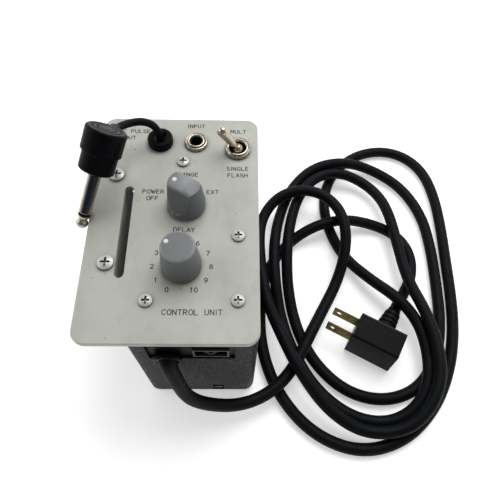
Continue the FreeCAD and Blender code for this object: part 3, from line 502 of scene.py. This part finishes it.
MAINS_DIAMETER = 0.0074
SIGNAL_DIAMETER = 0.0040
MAINS_ROUTE = [
    # out of the strain relief and down to the table
    (0.0024, -0.0732, 0.0572), (0.0048, -0.0763, 0.0468), (0.0105, -0.0780, 0.0355),
    (0.0195, -0.0780, 0.0255), (0.0310, -0.0768, 0.0175), (0.0435, -0.0728, 0.0128),
    # out across the loops, up over them at the far side
    (0.0555, -0.0655, 0.0123), (0.0660, -0.0540, 0.0123), (0.0760, -0.0355, 0.0125),
    (0.0868, -0.0155, 0.0065), (0.0975, 0.0035, 0.0075), (0.1040, 0.0220, 0.0145),
    (0.1053, 0.0395, 0.0200), (0.1015, 0.0550, 0.0212), (0.0910, 0.0665, 0.0213),
    (0.0760, 0.0705, 0.0208), (0.0610, 0.0665, 0.0185), (0.0503, 0.0553, 0.0135),
    # down the left side, near the case
    (0.0463, 0.0395, 0.0124), (0.0473, 0.0130, 0.0124), (0.0510, -0.0120, 0.0130),
    (0.0585, -0.0350, 0.0203), (0.0690, -0.0580, 0.0205), (0.0850, -0.0790, 0.0140),
    (0.1060, -0.0910, 0.0095), (0.1290, -0.0900, 0.0115), (0.1440, -0.0785, 0.0165),
    (0.1530, -0.0605, 0.0190), (0.1540, -0.0390, 0.0190), (0.1500, -0.0180, 0.0180),
    # third loop
    (0.1440, 0.0050, 0.0128), (0.1413, 0.0310, 0.0124), (0.1390, 0.0560, 0.0120),
    (0.1345, 0.0745, 0.0085), (0.1215, 0.0875, 0.0090), (0.1045, 0.0920, 0.0126),
    (0.0875, 0.0865, 0.0126), (0.0755, 0.0715, 0.0122), (0.0685, 0.0500, 0.0126),
    (0.0648, 0.0250, 0.0126), (0.0653, -0.0010, 0.0055), (0.0700, -0.0270, 0.0038),
    (0.0805, -0.0495, 0.0038), (0.0985, -0.0665, 0.0038), (0.1210, -0.0720, 0.0038),
    (0.1430, -0.0650, 0.0038), (0.1575, -0.0460, 0.0038), (0.1645, -0.0210, 0.0038),
    (0.1665, 0.0060, 0.0038), (0.1675, 0.0330, 0.0038), (0.1655, 0.0600, 0.0038),
    (0.1540, 0.0850, 0.0038), (0.1330, 0.1005, 0.0050),
    # second loop
    (0.1095, 0.1020, 0.0122), (0.0875, 0.0960, 0.0125), (0.0710, 0.0810, 0.0075),
    (0.0615, 0.0575, 0.0085), (0.0565, 0.0320, 0.0124), (0.0563, 0.0070, 0.0116),
    (0.0595, -0.0180, 0.0044), (0.0670, -0.0420, 0.0038), (0.0800, -0.0650, 0.0038),
    (0.0995, -0.0810, 0.0038), (0.1210, -0.0850, 0.0042), (0.1385, -0.0775, 0.0085),
    (0.1478, -0.0615, 0.0122), (0.1498, -0.0420, 0.0123), (0.1463, -0.0230, 0.0125),
    (0.1355, -0.0085, 0.0140), (0.1200, 0.0060, 0.0105), (0.1055, 0.0250, 0.0040),
    # fourth loop
    (0.0960, 0.0480, 0.0038), (0.0940, 0.0730, 0.0038), (0.1025, 0.0965, 0.0038),
    (0.1205, 0.1135, 0.0038), (0.1420, 0.1195, 0.0038), (0.1605, 0.1140, 0.0038),
    (0.1730, 0.0990, 0.0038), (0.1776, 0.0765, 0.0038), (0.1778, 0.0500, 0.0038),
    (0.1763, 0.0240, 0.0038), (0.1750, -0.0020, 0.0038), (0.1719, -0.0280, 0.0038),
    (0.1645, -0.0525, 0.0038), (0.1515, -0.0755, 0.0038), (0.1310, -0.0940, 0.0038),
    (0.1040, -0.1010, 0.0038), (0.0770, -0.0910, 0.0038), (0.0575, -0.0690, 0.0038),
    # up beside the case, under the loops and round to the plug
    (0.0475, -0.0420, 0.0038), (0.0460, -0.0120, 0.0038), (0.0515, 0.0150, 0.0038),
    (0.0660, 0.0358, 0.0038), (0.0850, 0.0460, 0.0120), (0.1060, 0.0515, 0.0124),
    (0.1270, 0.0525, 0.0046), (0.1445, 0.0440, 0.0038), (0.1525, 0.0280, 0.0038),
    (0.1500, 0.0100, 0.0038), (0.1415, -0.0040, 0.0046), (0.1345, -0.0145, 0.0062),
]
SIGNAL_ROUTE = [
    (-0.0105, 0.0484, 0.0980), (-0.0105, 0.0484, 0.1027), (-0.0118, 0.0491, 0.1070),
    (-0.0146, 0.0488, 0.1107), (-0.0186, 0.0478, 0.1130), (-0.0231, 0.0464, 0.1135),
    (-0.0268, 0.0436, 0.1147), (-0.0289, 0.0399, 0.1168), (-0.0292, 0.0362, 0.1196),
]


def make_cord(name, route, diameter, node):
    """One smooth open spline with the route as its control points."""
    curve = bpy.data.curves.new(name, "CURVE")
    curve.dimensions = "3D"
    curve.bevel_depth = diameter / 2
    curve.bevel_resolution = 8
    curve.resolution_u = 10
    curve.use_fill_caps = True
    spline = curve.splines.new("NURBS")
    spline.points.add(len(route) - 1)
    for point, place in zip(spline.points, route):
        point.co = (*place, 1)
    spline.order_u = 3
    spline.use_endpoint_u = True
    cord = bpy.data.objects.new(name, curve)
    bpy.context.scene.collection.objects.link(cord)
    curve.materials.append(MATERIALS["cord_jacket"])
    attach(cord, ROOT)
    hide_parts(node)
    return cord


# --- Knobs ------------------------------------------------------------------------------

SKIRT_HEIGHT = 3.0
TOP_RADIUS = 8.0
HOLLOW_RADIUS = 8.0
HOLLOW_DEPTH = 6.5


def knob_rim():
    """Radius of both knobs at the foot."""
    low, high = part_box("delay_knob")
    return (high.x - low.x) / 2 / MM


def knob_profile(height, side):
    """Outline of a knob with a hollow under it; side runs from its top's edge down to its skirt."""
    hollow = [(HOLLOW_RADIUS, 0), (HOLLOW_RADIUS, HOLLOW_DEPTH), (0, HOLLOW_DEPTH)]
    return [(0, height), *side, (knob_rim(), 0), *hollow]


def centre_of(node):
    low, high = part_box(node)
    return (low + high) / 2 / MM


def make_pointer_dot(name, centre, height, heading, distance, radius, body):
    """Low painted dot on a knob's top, in a direction counted from +X in degrees."""
    angle = math.radians(heading)
    at = (centre.x + distance * math.cos(angle), centre.y + distance * math.sin(angle), height - 0.03)
    bm = turned([(0, 0.09), (radius * 0.8, 0.07), (radius, 0), (0, 0)], segments=40, radius=0.1)
    return add_piece(name, mesh_from(bm, name, Matrix.Translation(at)), None, (), body, DOT_PAINT)


def make_delay_knob():
    shaft = centre_of("delay_shaft")
    base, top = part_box("delay_knob")[0].z / MM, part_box("delay_knob")[1].z / MM
    height = top - base
    side = [(TOP_RADIUS, height), (knob_rim(), SKIRT_HEIGHT)]
    bm = turned(knob_profile(height, side), segments=128, radius=1.3, steps=8)
    mesh = mesh_from(bm, "delay_knob_moulding", Matrix.Translation((shaft.x, shaft.y, base)))
    add_piece("delay_knob_moulding", mesh, "knob_plastic", ("delay_knob",), "delay_knob")
    make_pointer_dot("delay_knob_dot", shaft, top, heading=155, distance=5.8, radius=1.15, body="delay_knob")


def soft_minimum(first, second, blend):
    """Smaller of two lengths, eased where they are nearly equal."""
    near = max(blend - abs(first - second), 0) / blend
    return min(first, second) - near * near * blend / 4


BAR_HEADING = 150


def make_range_knob():
    """Turned blank with two sloping flats, which leave a bar across the top and fade out above the skirt."""
    shaft = centre_of("range_shaft")
    base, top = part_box("range_knob")[0].z / MM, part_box("range_knob")[1].z / MM
    height, rim = top - base, knob_rim()
    half_bar, foot_reach, foot, brow = 4.8, 9.3, 3.5, 1.1
    fade, flare, corner = 0.6, 1.6, 0.7

    def flats(angle, r, z):
        hollow = z < HOLLOW_DEPTH + 0.1 and r < HOLLOW_RADIUS + 0.1
        if z < foot - fade or r < 0.5 or hollow:
            return r
        drop = height - z
        reach = half_bar + drop * (foot_reach - half_bar) / (height - foot) - max(0, brow - drop) ** 2 / 2
        reach += flare * max(0, (foot + 2 * fade - z) / (3 * fade)) ** 2
        return soft_minimum(r, reach / max(abs(math.sin(angle)), 1e-3), corner)

    steps = [i / 30 for i in range(31)]
    side = [(TOP_RADIUS + (rim - TOP_RADIUS) * t, height - (height - SKIRT_HEIGHT) * t) for t in steps]
    bm = turned(knob_profile(height, side), segments=180, radius=0.9, ripple=flats, steps=5)
    turn = Matrix.Rotation(math.radians(BAR_HEADING), 4, "Z")
    mesh = mesh_from(bm, "range_knob_moulding", Matrix.Translation((shaft.x, shaft.y, base)) @ turn)
    add_piece("range_knob_moulding", mesh, "knob_plastic", ("range_knob",), "range_knob", sharp=50)
    make_pointer_dot("range_knob_dot", shaft, top, BAR_HEADING, distance=5.2, radius=1.2, body="range_knob")


# --- Jack, toggle and bushing -------------------------------------------------------------

def scallops(count, depth, from_radius):
    """Ripple that dents the outside of a nut evenly, count times round, and deeper further out."""
    def ripple(angle, r, z):
        if r < from_radius:
            return r
        wave = abs(math.sin(angle * count / 2))
        return r - depth * (1 - wave) ** 1.5 * (r - from_radius + 0.6) / 1.5
    return ripple


def make_jack():
    """Ring nut, the rolled end of the jack's sleeve and the dark liner inside it."""
    centre = centre_of("jack_bushing")
    at = (centre.x, centre.y, PANEL_TOP)
    nut = [(4.85, 0), (6.3, 0), (6.3, 1.3), (5.85, 1.9), (5.4, 2.0), (5.2, 1.7), (4.95, 1.7), (4.85, 1.4)]
    turned_piece("jack_ring_nut", nut, at, Z_AXIS, "nickel", ("jack_nut",), segments=96, radius=0.2)
    sleeve = [(3.25, -5.2), (4.76, -5.2), (4.76, 2.0), (4.35, 2.4), (3.75, 2.4), (3.35, 1.9), (3.25, 1.2)]
    turned_piece("jack_sleeve", sleeve, at, Z_AXIS, "nickel", ("jack_bushing",), segments=96, radius=0.18)
    liner = [(3.02, -5.0), (3.24, -5.0), (3.24, 1.15), (3.02, 1.1)]
    turned_piece("jack_liner", liner, at, Z_AXIS, "black_plastic", segments=72, radius=0.05)


def make_toggle():
    """Scalloped dress nut and the toggle's threaded collar, open for the lever."""
    centre = centre_of("toggle_bushing")
    at = (centre.x, centre.y, PANEL_TOP)
    nut = [(5.98, 0), (6.95, 0), (6.95, 1.7), (6.45, 2.6), (5.98, 2.9)]
    turned_piece("toggle_dress_nut", nut, at, Z_AXIS, "nickel", ("toggle_nut",), segments=240, radius=0.3,
                 ripple=scallops(12, 0.35, 6.3))
    collar = [(4.35, -3.1), (5.95, -3.1), (5.95, 2.75), (5.3, 3.05), (4.75, 2.75), (4.35, 2.1)]
    turned_piece("toggle_collar", collar, at, Z_AXIS, "nickel", ("toggle_bushing",), segments=96, radius=0.3)


def make_toggle_lever():
    """Bat handle on its pivot ball, thin at the ball and thick at the tip."""
    pivot = Vector((centre_of("toggle_bushing").x, centre_of("toggle_bushing").y, PANEL_TOP + 0.6))
    lean = math.radians(29.4)
    axis = Vector((-math.sin(lean), 0, math.cos(lean)))
    ball, tip, length, tail, tail_end = 3.2, 2.8, 16.0, 1.3, -8.5
    profile = [(0, tail_end), (tail, tail_end), (tail, -3.0)]
    for step in range(10):
        angle = math.radians(-60 + 12.5 * step)
        profile.append((ball * math.cos(angle), ball * math.sin(angle)))
    profile += [(1.75, 3.0), (1.85, 4.2), (2.15, 8.0), (2.6, 12.5), (tip, length)]
    for step in range(1, 9):
        angle = math.radians(11.25 * step)
        profile.append((tip * math.cos(angle) if step < 8 else 0, length + tip * math.sin(angle)))
    turned_piece("toggle_bat", profile, pivot, axis, "nickel", ("toggle_lever",), "toggle_lever", segments=72,
                 radius=0.25)


# --- Phone plug ---------------------------------------------------------------------------

PHONE_TIP = Vector((-46.7, -4.2, 93.2))
PHONE_AXIS = Vector((0.341, 0.581, 0.739)).normalized()
# Distances along the plug from its tip, and its shaft's radius.
RING_START, SLEEVE_START, CAP_START = 7.2, 8.6, 31.0
SHAFT_RADIUS = 3.175


def groove(radius, face):
    """Outline of a shallow round-bottomed groove in a face, from the outside inwards."""
    outer = [(radius + 0.3, face), (radius + 0.15, face - 0.35)]
    inner = [(radius - 0.15, face - 0.35), (radius - 0.3, face)]
    return [*outer, (radius, face - 0.45), *inner]


def make_phone_plug():
    """Plug barrel, its insulating ring and tip, and a broad moulded cap with two rings on its end."""
    tip = [(0, 0), (1.1, 0.12), (2.1, 0.7), (2.85, 1.7), (3.08, 2.8), (2.8, 3.9), (2.15, 4.7), (2.05, 5.1),
           (2.45, 5.6), (2.95, 6.6), (2.95, RING_START), (0, RING_START)]
    pieces = [turned_piece("plug_tip", tip, PHONE_TIP, PHONE_AXIS, "nickel", ("phone_plug_tip",), radius=0.4)]
    ring = [(0, RING_START), (3.0, RING_START), (3.0, SLEEVE_START), (0, SLEEVE_START)]
    pieces.append(turned_piece("plug_ring", ring, PHONE_TIP, PHONE_AXIS, "black_plastic",
                               ("phone_plug_insulator",), radius=0.1))
    barrel = [(0, SLEEVE_START), (3.0, SLEEVE_START), (SHAFT_RADIUS, SLEEVE_START + 0.3),
              (SHAFT_RADIUS, CAP_START), (0, CAP_START)]
    pieces.append(turned_piece("plug_barrel", barrel, PHONE_TIP, PHONE_AXIS, "nickel", ("phone_plug_sleeve",),
                               material=SLEEVE_PAINTED_REFLECTION, radius=0.12))
    end = 21.3
    cap = [(0, 0), (7.8, 0), (8.6, 0.7), (8.6, 9.2), (9.8, 9.9), (9.8, 20.3), (9.5, 20.9), (8.9, end),
           *groove(6.85, end), *groove(4.45, end), (0, end)]
    cap_place = PHONE_TIP + PHONE_AXIS * CAP_START
    pieces.append(turned_piece("plug_cap", cap, cap_place, PHONE_AXIS, "black_plastic", ("phone_plug_cap",),
                               segments=128, radius=0.12))
    last, before = Vector(SIGNAL_ROUTE[-1]) / MM, Vector(SIGNAL_ROUTE[-2]) / MM
    spout = [(0, -8.0), (3.3, -8.0), (3.3, -0.6), (2.8, 0), (2.05, 0), (2.05, -0.4), (0, -0.4)]
    pieces.append(turned_piece("plug_spout", spout, last, (before - last).normalized(), "black_plastic",
                               segments=64, radius=0.4))
    return pieces


# --- Mains strain relief --------------------------------------------------------------------

def bent_tube(path, radii, segments=40):
    """Closed tube along a list of points, with a radius at each."""
    bm = bmesh.new()
    rings = []
    for i, (centre, radius) in enumerate(zip(path, radii)):
        ahead = path[min(i + 1, len(path) - 1)] - path[max(i - 1, 0)]
        across = ahead.cross(Vector((1, 0, 0))).normalized()
        side = ahead.cross(across).normalized()
        rings.append([bm.verts.new(centre + radius * (across * math.cos(angle) + side * math.sin(angle)))
                      for angle in (2 * math.pi * k / segments for k in range(segments))])
    for low, high in zip(rings, rings[1:]):
        for k in range(segments):
            bm.faces.new([low[k], low[(k + 1) % segments], high[(k + 1) % segments], high[k]])
    bm.faces.new(rings[0])
    bm.faces.new(rings[-1])
    return bm


BOOT_REACH = 18.0


def make_mains_relief():
    """Round gland through the plate and a boot that bends down onto the lead."""
    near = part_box("case_shell")[0].y / MM
    lead, below = Vector(MAINS_ROUTE[0]) / MM, Vector(MAINS_ROUTE[1]) / MM
    downward = (below - lead).normalized()
    elbow = lead - downward * BOOT_REACH
    gland = [(0, -5.6), (6.6, -5.6), (6.6, -3.0), (5.5, -3.0), (5.5, 0), (7.0, 0), (7.0, 1.7), (6.2, 2.5),
             (5.2, 2.5), (5.0, 2.2), (0, 2.2)]
    pieces = [turned_piece("relief_gland", gland, (elbow.x, near, elbow.z), (0, -1, 0), "black_plastic",
                           ("mains_strain_relief",), radius=0.5)]
    root = Vector((elbow.x, near - 1.0, elbow.z))
    steps = [i / 28 for i in range(29)]
    path = [root * (1 - t) ** 2 + elbow * 2 * t * (1 - t) + lead * t ** 2 for t in steps]
    path.append(lead + downward * 0.5)
    radii = [4.4 - 0.55 * t for t in steps] + [3.72]
    bm = bent_tube(path, radii)
    pieces.append(add_piece("relief_boot", mesh_from(bm, "relief_boot"), "black_plastic",
                            material=MATERIALS["cord_jacket"]))
    return pieces


# --- Legend -------------------------------------------------------------------------------

def arc(x, y, across, up, start, end, steps=10):
    """Points of an elliptical arc, angles in degrees."""
    angles = [math.radians(start + (end - start) * i / steps) for i in range(steps + 1)]
    return [(x + across * math.cos(angle), y + up * math.sin(angle)) for angle in angles]


# Strokes of each sign in a cell 0.7 wide and 1 high.
SIGNS = {
    "A": [[(0, 0), (0.35, 1), (0.7, 0)], [(0.13, 0.36), (0.57, 0.36)]],
    "C": [arc(0.37, 0.5, 0.37, 0.5, 45, 315)],
    "D": [[(0, 0), (0, 1), (0.3, 1), *arc(0.3, 0.5, 0.38, 0.5, 90, -90), (0, 0)]],
    "E": [[(0.6, 1), (0, 1), (0, 0), (0.6, 0)], [(0, 0.52), (0.5, 0.52)]],
    "F": [[(0.6, 1), (0, 1), (0, 0)], [(0, 0.52), (0.5, 0.52)]],
    "G": [[*arc(0.37, 0.5, 0.37, 0.5, 45, 340), (0.72, 0.46), (0.42, 0.46)]],
    "H": [[(0, 0), (0, 1)], [(0.65, 0), (0.65, 1)], [(0, 0.52), (0.65, 0.52)]],
    "I": [[(0.1, 0), (0.1, 1)]],
    "L": [[(0, 1), (0, 0), (0.58, 0)]],
    "M": [[(0, 0), (0, 1), (0.37, 0.3), (0.74, 1), (0.74, 0)]],
    "N": [[(0, 0), (0, 1), (0.66, 0), (0.66, 1)]],
    "O": [arc(0.37, 0.5, 0.38, 0.5, 0, 360, 18)],
    "P": [[(0, 0), (0, 1), (0.35, 1), *arc(0.35, 0.75, 0.28, 0.25, 90, -90, 7), (0, 0.5)]],
    "R": [[(0, 0), (0, 1), (0.35, 1), *arc(0.35, 0.75, 0.28, 0.25, 90, -90, 7), (0, 0.5)],
          [(0.33, 0.5), (0.65, 0)]],
    "S": [[*arc(0.32, 0.745, 0.3, 0.255, 30, 262, 8), *arc(0.34, 0.255, 0.32, 0.255, 82, -150, 8)]],
    "T": [[(0, 1), (0.66, 1)], [(0.33, 1), (0.33, 0)]],
    "U": [[(0, 1), (0, 0.33), *arc(0.33, 0.33, 0.33, 0.33, 180, 360, 8), (0.66, 1)]],
    "W": [[(0, 1), (0.22, 0), (0.44, 0.8), (0.66, 0), (0.88, 1)]],
    "X": [[(0, 0), (0.66, 1)], [(0, 1), (0.66, 0)]],
    "Y": [[(0, 1), (0.33, 0.5), (0.66, 1)], [(0.33, 0.5), (0.33, 0)]],
    "0": [arc(0.33, 0.5, 0.32, 0.5, 0, 360, 18)],
    "1": [[(0.2, 0.82), (0.38, 1), (0.38, 0)]],
    "2": [[*arc(0.32, 0.7, 0.3, 0.3, 165, -40, 8), (0.02, 0), (0.64, 0)]],
    "3": [[*arc(0.3, 0.75, 0.27, 0.25, 150, -80, 8), *arc(0.3, 0.27, 0.32, 0.27, 85, -150, 8)]],
    "4": [[(0.5, 0), (0.5, 1), (0, 0.3), (0.66, 0.3)]],
    "5": [[(0.58, 1), (0.1, 1), (0.06, 0.56), *arc(0.3, 0.32, 0.32, 0.32, 110, -145, 9)]],
    "6": [[(0.5, 0.98), *arc(0.5, 0.35, 0.48, 0.62, 100, 185, 6)], arc(0.33, 0.31, 0.31, 0.31, 0, 360, 14)],
    "7": [[(0, 1), (0.62, 1), (0.22, 0)]],
    "8": [arc(0.33, 0.75, 0.26, 0.25, 0, 360, 14), arc(0.33, 0.26, 0.32, 0.26, 0, 360, 14)],
    "9": [arc(0.33, 0.69, 0.31, 0.31, 0, 360, 14), [(0.16, 0.02), *arc(0.16, 0.65, 0.48, 0.62, -80, 5, 6)]],
    " ": [],
}
NARROW = {"I": 0.2, "M": 0.74, "W": 0.88}
CELL = 0.68
GAP = 0.30
SMALL, LARGE = 2.25, 2.5
LINE_WIDTH = 0.45
SHARPEST_BEND = math.radians(38)


def strokes_of(words, x, y, size):
    """Strokes of a line of signs centred on a point, size millimetres high."""
    widths = [NARROW.get(sign, CELL) for sign in words]
    start = -(sum(widths) + GAP * (len(words) - 1)) / 2
    strokes = []
    for sign, width in zip(words, widths):
        for stroke in SIGNS[sign]:
            strokes.append([(x + (start + u) * size, y + (v - 0.5) * size) for u, v in stroke])
        start += width + GAP
    return strokes


def smooth_runs(stroke):
    """Split a stroke wherever it turns sharply, so that each run can be drawn as one smooth band."""
    points = [Vector(stroke[0])]
    for place in stroke[1:]:
        if (Vector(place) - points[-1]).length > 1e-3:
            points.append(Vector(place))
    runs, run = [], [points[0]]
    for before, here, after in zip(points, points[1:], points[2:]):
        run.append(here)
        if (here - before).angle(after - here) > SHARPEST_BEND:
            runs.append(run)
            run = [here]
    runs.append(run + [points[-1]])
    return runs


def add_band(bm, run, width):
    """Flat band along a run of points, with round ends."""
    left, right = [], []
    for before, here, after in zip([run[0], *run], run, [*run[1:], run[-1]]):
        ahead = (after - before).normalized()
        side = Vector((-ahead.y, ahead.x)) * width / 2
        left.append(bm.verts.new((*(here + side), 0)))
        right.append(bm.verts.new((*(here - side), 0)))
    for i in range(len(run) - 1):
        bm.faces.new([right[i], right[i + 1], left[i + 1], left[i]])
    for end, first, last in ((run[0], left[0], right[0]), (run[-1], right[-1], left[-1])):
        start = math.atan2(first.co.y - end.y, first.co.x - end.x)
        rim = [bm.verts.new((end.x + width / 2 * math.cos(start + math.pi * k / 6),
                             end.y + width / 2 * math.sin(start + math.pi * k / 6), 0)) for k in range(1, 6)]
        bm.faces.new([first, *rim, last])


def make_legend():
    """Control words and the delay scale, as thin ink bands on the panel."""
    lines = [("INPUT", 8.4, 60.0), ("MULT", 31.7, 56.5), ("SINGLE", 31.5, 31.1), ("FLASH", 31.5, 26.8),
             ("RANGE", 5.5, 27.0), ("POWER", -11.9, 16.0), ("OFF", -12.0, 11.9), ("EXT", 18.7, 16.0),
             ("DELAY", 5.2, -6.6), ("SYNC PULSE", -27.6, 56.0), ("OUT", -27.4, 51.4)]
    strokes = []
    for words, x, y in lines:
        strokes += strokes_of(words, x, y, SMALL)
    strokes += strokes_of("CONTROL UNIT", 11.3, -50.0, LARGE)
    knob = centre_of("delay_shaft")
    first, spacing, reach = 206.4, 30.72, 14.1
    for number in range(11):
        clock = math.radians(first + spacing * number)
        x, y = knob.x + reach * math.sin(clock), knob.y + reach * math.cos(clock)
        strokes += strokes_of(str(number), x, y, SMALL)
    bm = bmesh.new()
    for stroke in strokes:
        for run in smooth_runs(stroke):
            add_band(bm, run, LINE_WIDTH)
    lift = Matrix.Translation((0, 0, PANEL_TOP + 0.02))
    add_piece("panel_legend", mesh_from(bm, "panel_legend", lift), None, material=LEGEND_INK)


# --- Everything else that shows --------------------------------------------------------------

SOFT_EDGES = {
    "front_panel": 0.35, "case_shell": 0.4, "panel_screws": 0.16, "bracket_screws": 0.18,
    "mounting_bracket": 0.3, "connector_plate": 0.25, "slide_switch_frame": 0.2,
    "slide_switch_slider": 0.25, "slide_switch_body": 0.2,
    "plug_blades": 0.2, "signal_bushing": 0.35, "case_catch": 0.15,
}
# The switch frame and the case catch take the darker copy of the plating, which is painted shade.
OTHER_FINISH = {
    "slide_switch_frame": SHADED_PLATING, "case_catch": SHADED_PLATING,
    "slide_switch_body": MATERIALS["black_plastic"],
}


def refine_visible_nodes():
    """Break the edges of the CAD pieces that show as they are."""
    for node, width in SOFT_EDGES.items():
        refine(node, width, OTHER_FINISH.get(node))
    refine("mains_plug", 1.5, shortest=8.0, segments=5)


def dress_hidden_nodes():
    """Give every CAD piece its material, for the ones that have no stand-in."""
    for node, cad in frame["nodes"].items():
        cad.data.materials.clear()
        cad.data.materials.append(MATERIALS[SLOT_OF_NODE[node]])


# --- Floor and light ---------------------------------------------------------------------

FLOOR_GLOW = 0.42
LIT_POINT = Vector((0.03, 0, 0.05))


def make_floor():
    """Wide pale floor, faintly lit from below, with a soft rise far behind, as one gently curved sheet."""
    bm = bmesh.new()
    half, rows = 6.0, 24
    grid = []
    for row in range(rows + 1):
        y = -half + 2 * half * row / rows
        lift = max(0.0, y - 2.0) ** 2 * 0.08
        grid.append([bm.verts.new((-half, y, lift)), bm.verts.new((half, y, lift))])
    for near, far in zip(grid, grid[1:]):
        bm.faces.new([near[0], near[1], far[1], far[0]])
    mesh = bpy.data.meshes.new("floor")
    bm.to_mesh(mesh)
    bm.free()
    floor = bpy.data.objects.new("floor", mesh)
    bpy.context.scene.collection.objects.link(floor)
    finish = Finish("floor_paper", (0.86, 0.86, 0.86), 0.8)
    finish.roughen(finish.noise(40, 2), 0.75, 0.9)
    finish.shader.inputs["Emission Color"].default_value = (1, 1, 1, 1)
    finish.shader.inputs["Emission Strength"].default_value = FLOOR_GLOW
    mesh.materials.append(finish.material)


def add_area_light(name, place, size, power):
    """Square soft light that faces the case."""
    data = bpy.data.lights.new(name, "AREA")
    data.shape = "SQUARE"
    data.size = size
    data.energy = power
    light = bpy.data.objects.new(name, data)
    bpy.context.scene.collection.objects.link(light)
    light.location = place
    light.rotation_euler = (LIT_POINT - Vector(place)).to_track_quat("-Z", "Y").to_euler()


def make_light():
    """Light from the horizon, weak overhead and in front, with a soft key behind and a fill at the left."""
    world = bpy.data.worlds.new("studio")
    bpy.context.scene.world = world
    world.use_nodes = True
    tree = world.node_tree
    direction = tree.nodes.new("ShaderNodeTexCoord")
    split = tree.nodes.new("ShaderNodeSeparateXYZ")
    tree.links.new(direction.outputs["Generated"], split.inputs["Vector"])
    product = tree.nodes.new("ShaderNodeMath")
    product.operation = "MULTIPLY"
    fades = (("Z", 0.25, 0.95, 1.6, 0.2), ("Y", -0.75, 0.25, 0.18, 1.0))
    for place, (axis, start, end, first, last) in enumerate(fades):
        fade = tree.nodes.new("ShaderNodeMapRange")
        for key, number in (("From Min", start), ("From Max", end), ("To Min", first), ("To Max", last)):
            fade.inputs[key].default_value = number
        tree.links.new(split.outputs[axis], fade.inputs["Value"])
        tree.links.new(fade.outputs["Result"], product.inputs[place])
    tree.links.new(product.outputs["Value"], tree.nodes["Background"].inputs["Strength"])
    tree.nodes["Background"].inputs["Color"].default_value = (1, 1, 1, 1)
    add_area_light("key", (0.25, 0.45, 1.0), size=0.7, power=9.0)
    add_area_light("fill", (-1.0, 0.1, 0.8), size=0.8, power=2.5)
    bpy.context.scene.view_settings.view_transform = "Standard"


make_camera()
mains = make_cord("mains_lead", MAINS_ROUTE, MAINS_DIAMETER, "mains_cord")
signal = make_cord("signal_pigtail", SIGNAL_ROUTE, SIGNAL_DIAMETER, "signal_cable")
dress_hidden_nodes()
refine_visible_nodes()
phone_plug = make_phone_plug()
mains_relief = make_mains_relief()
make_delay_knob()
make_range_knob()
make_jack()
make_toggle()
make_toggle_lever()
make_legend()
make_floor()
make_light()
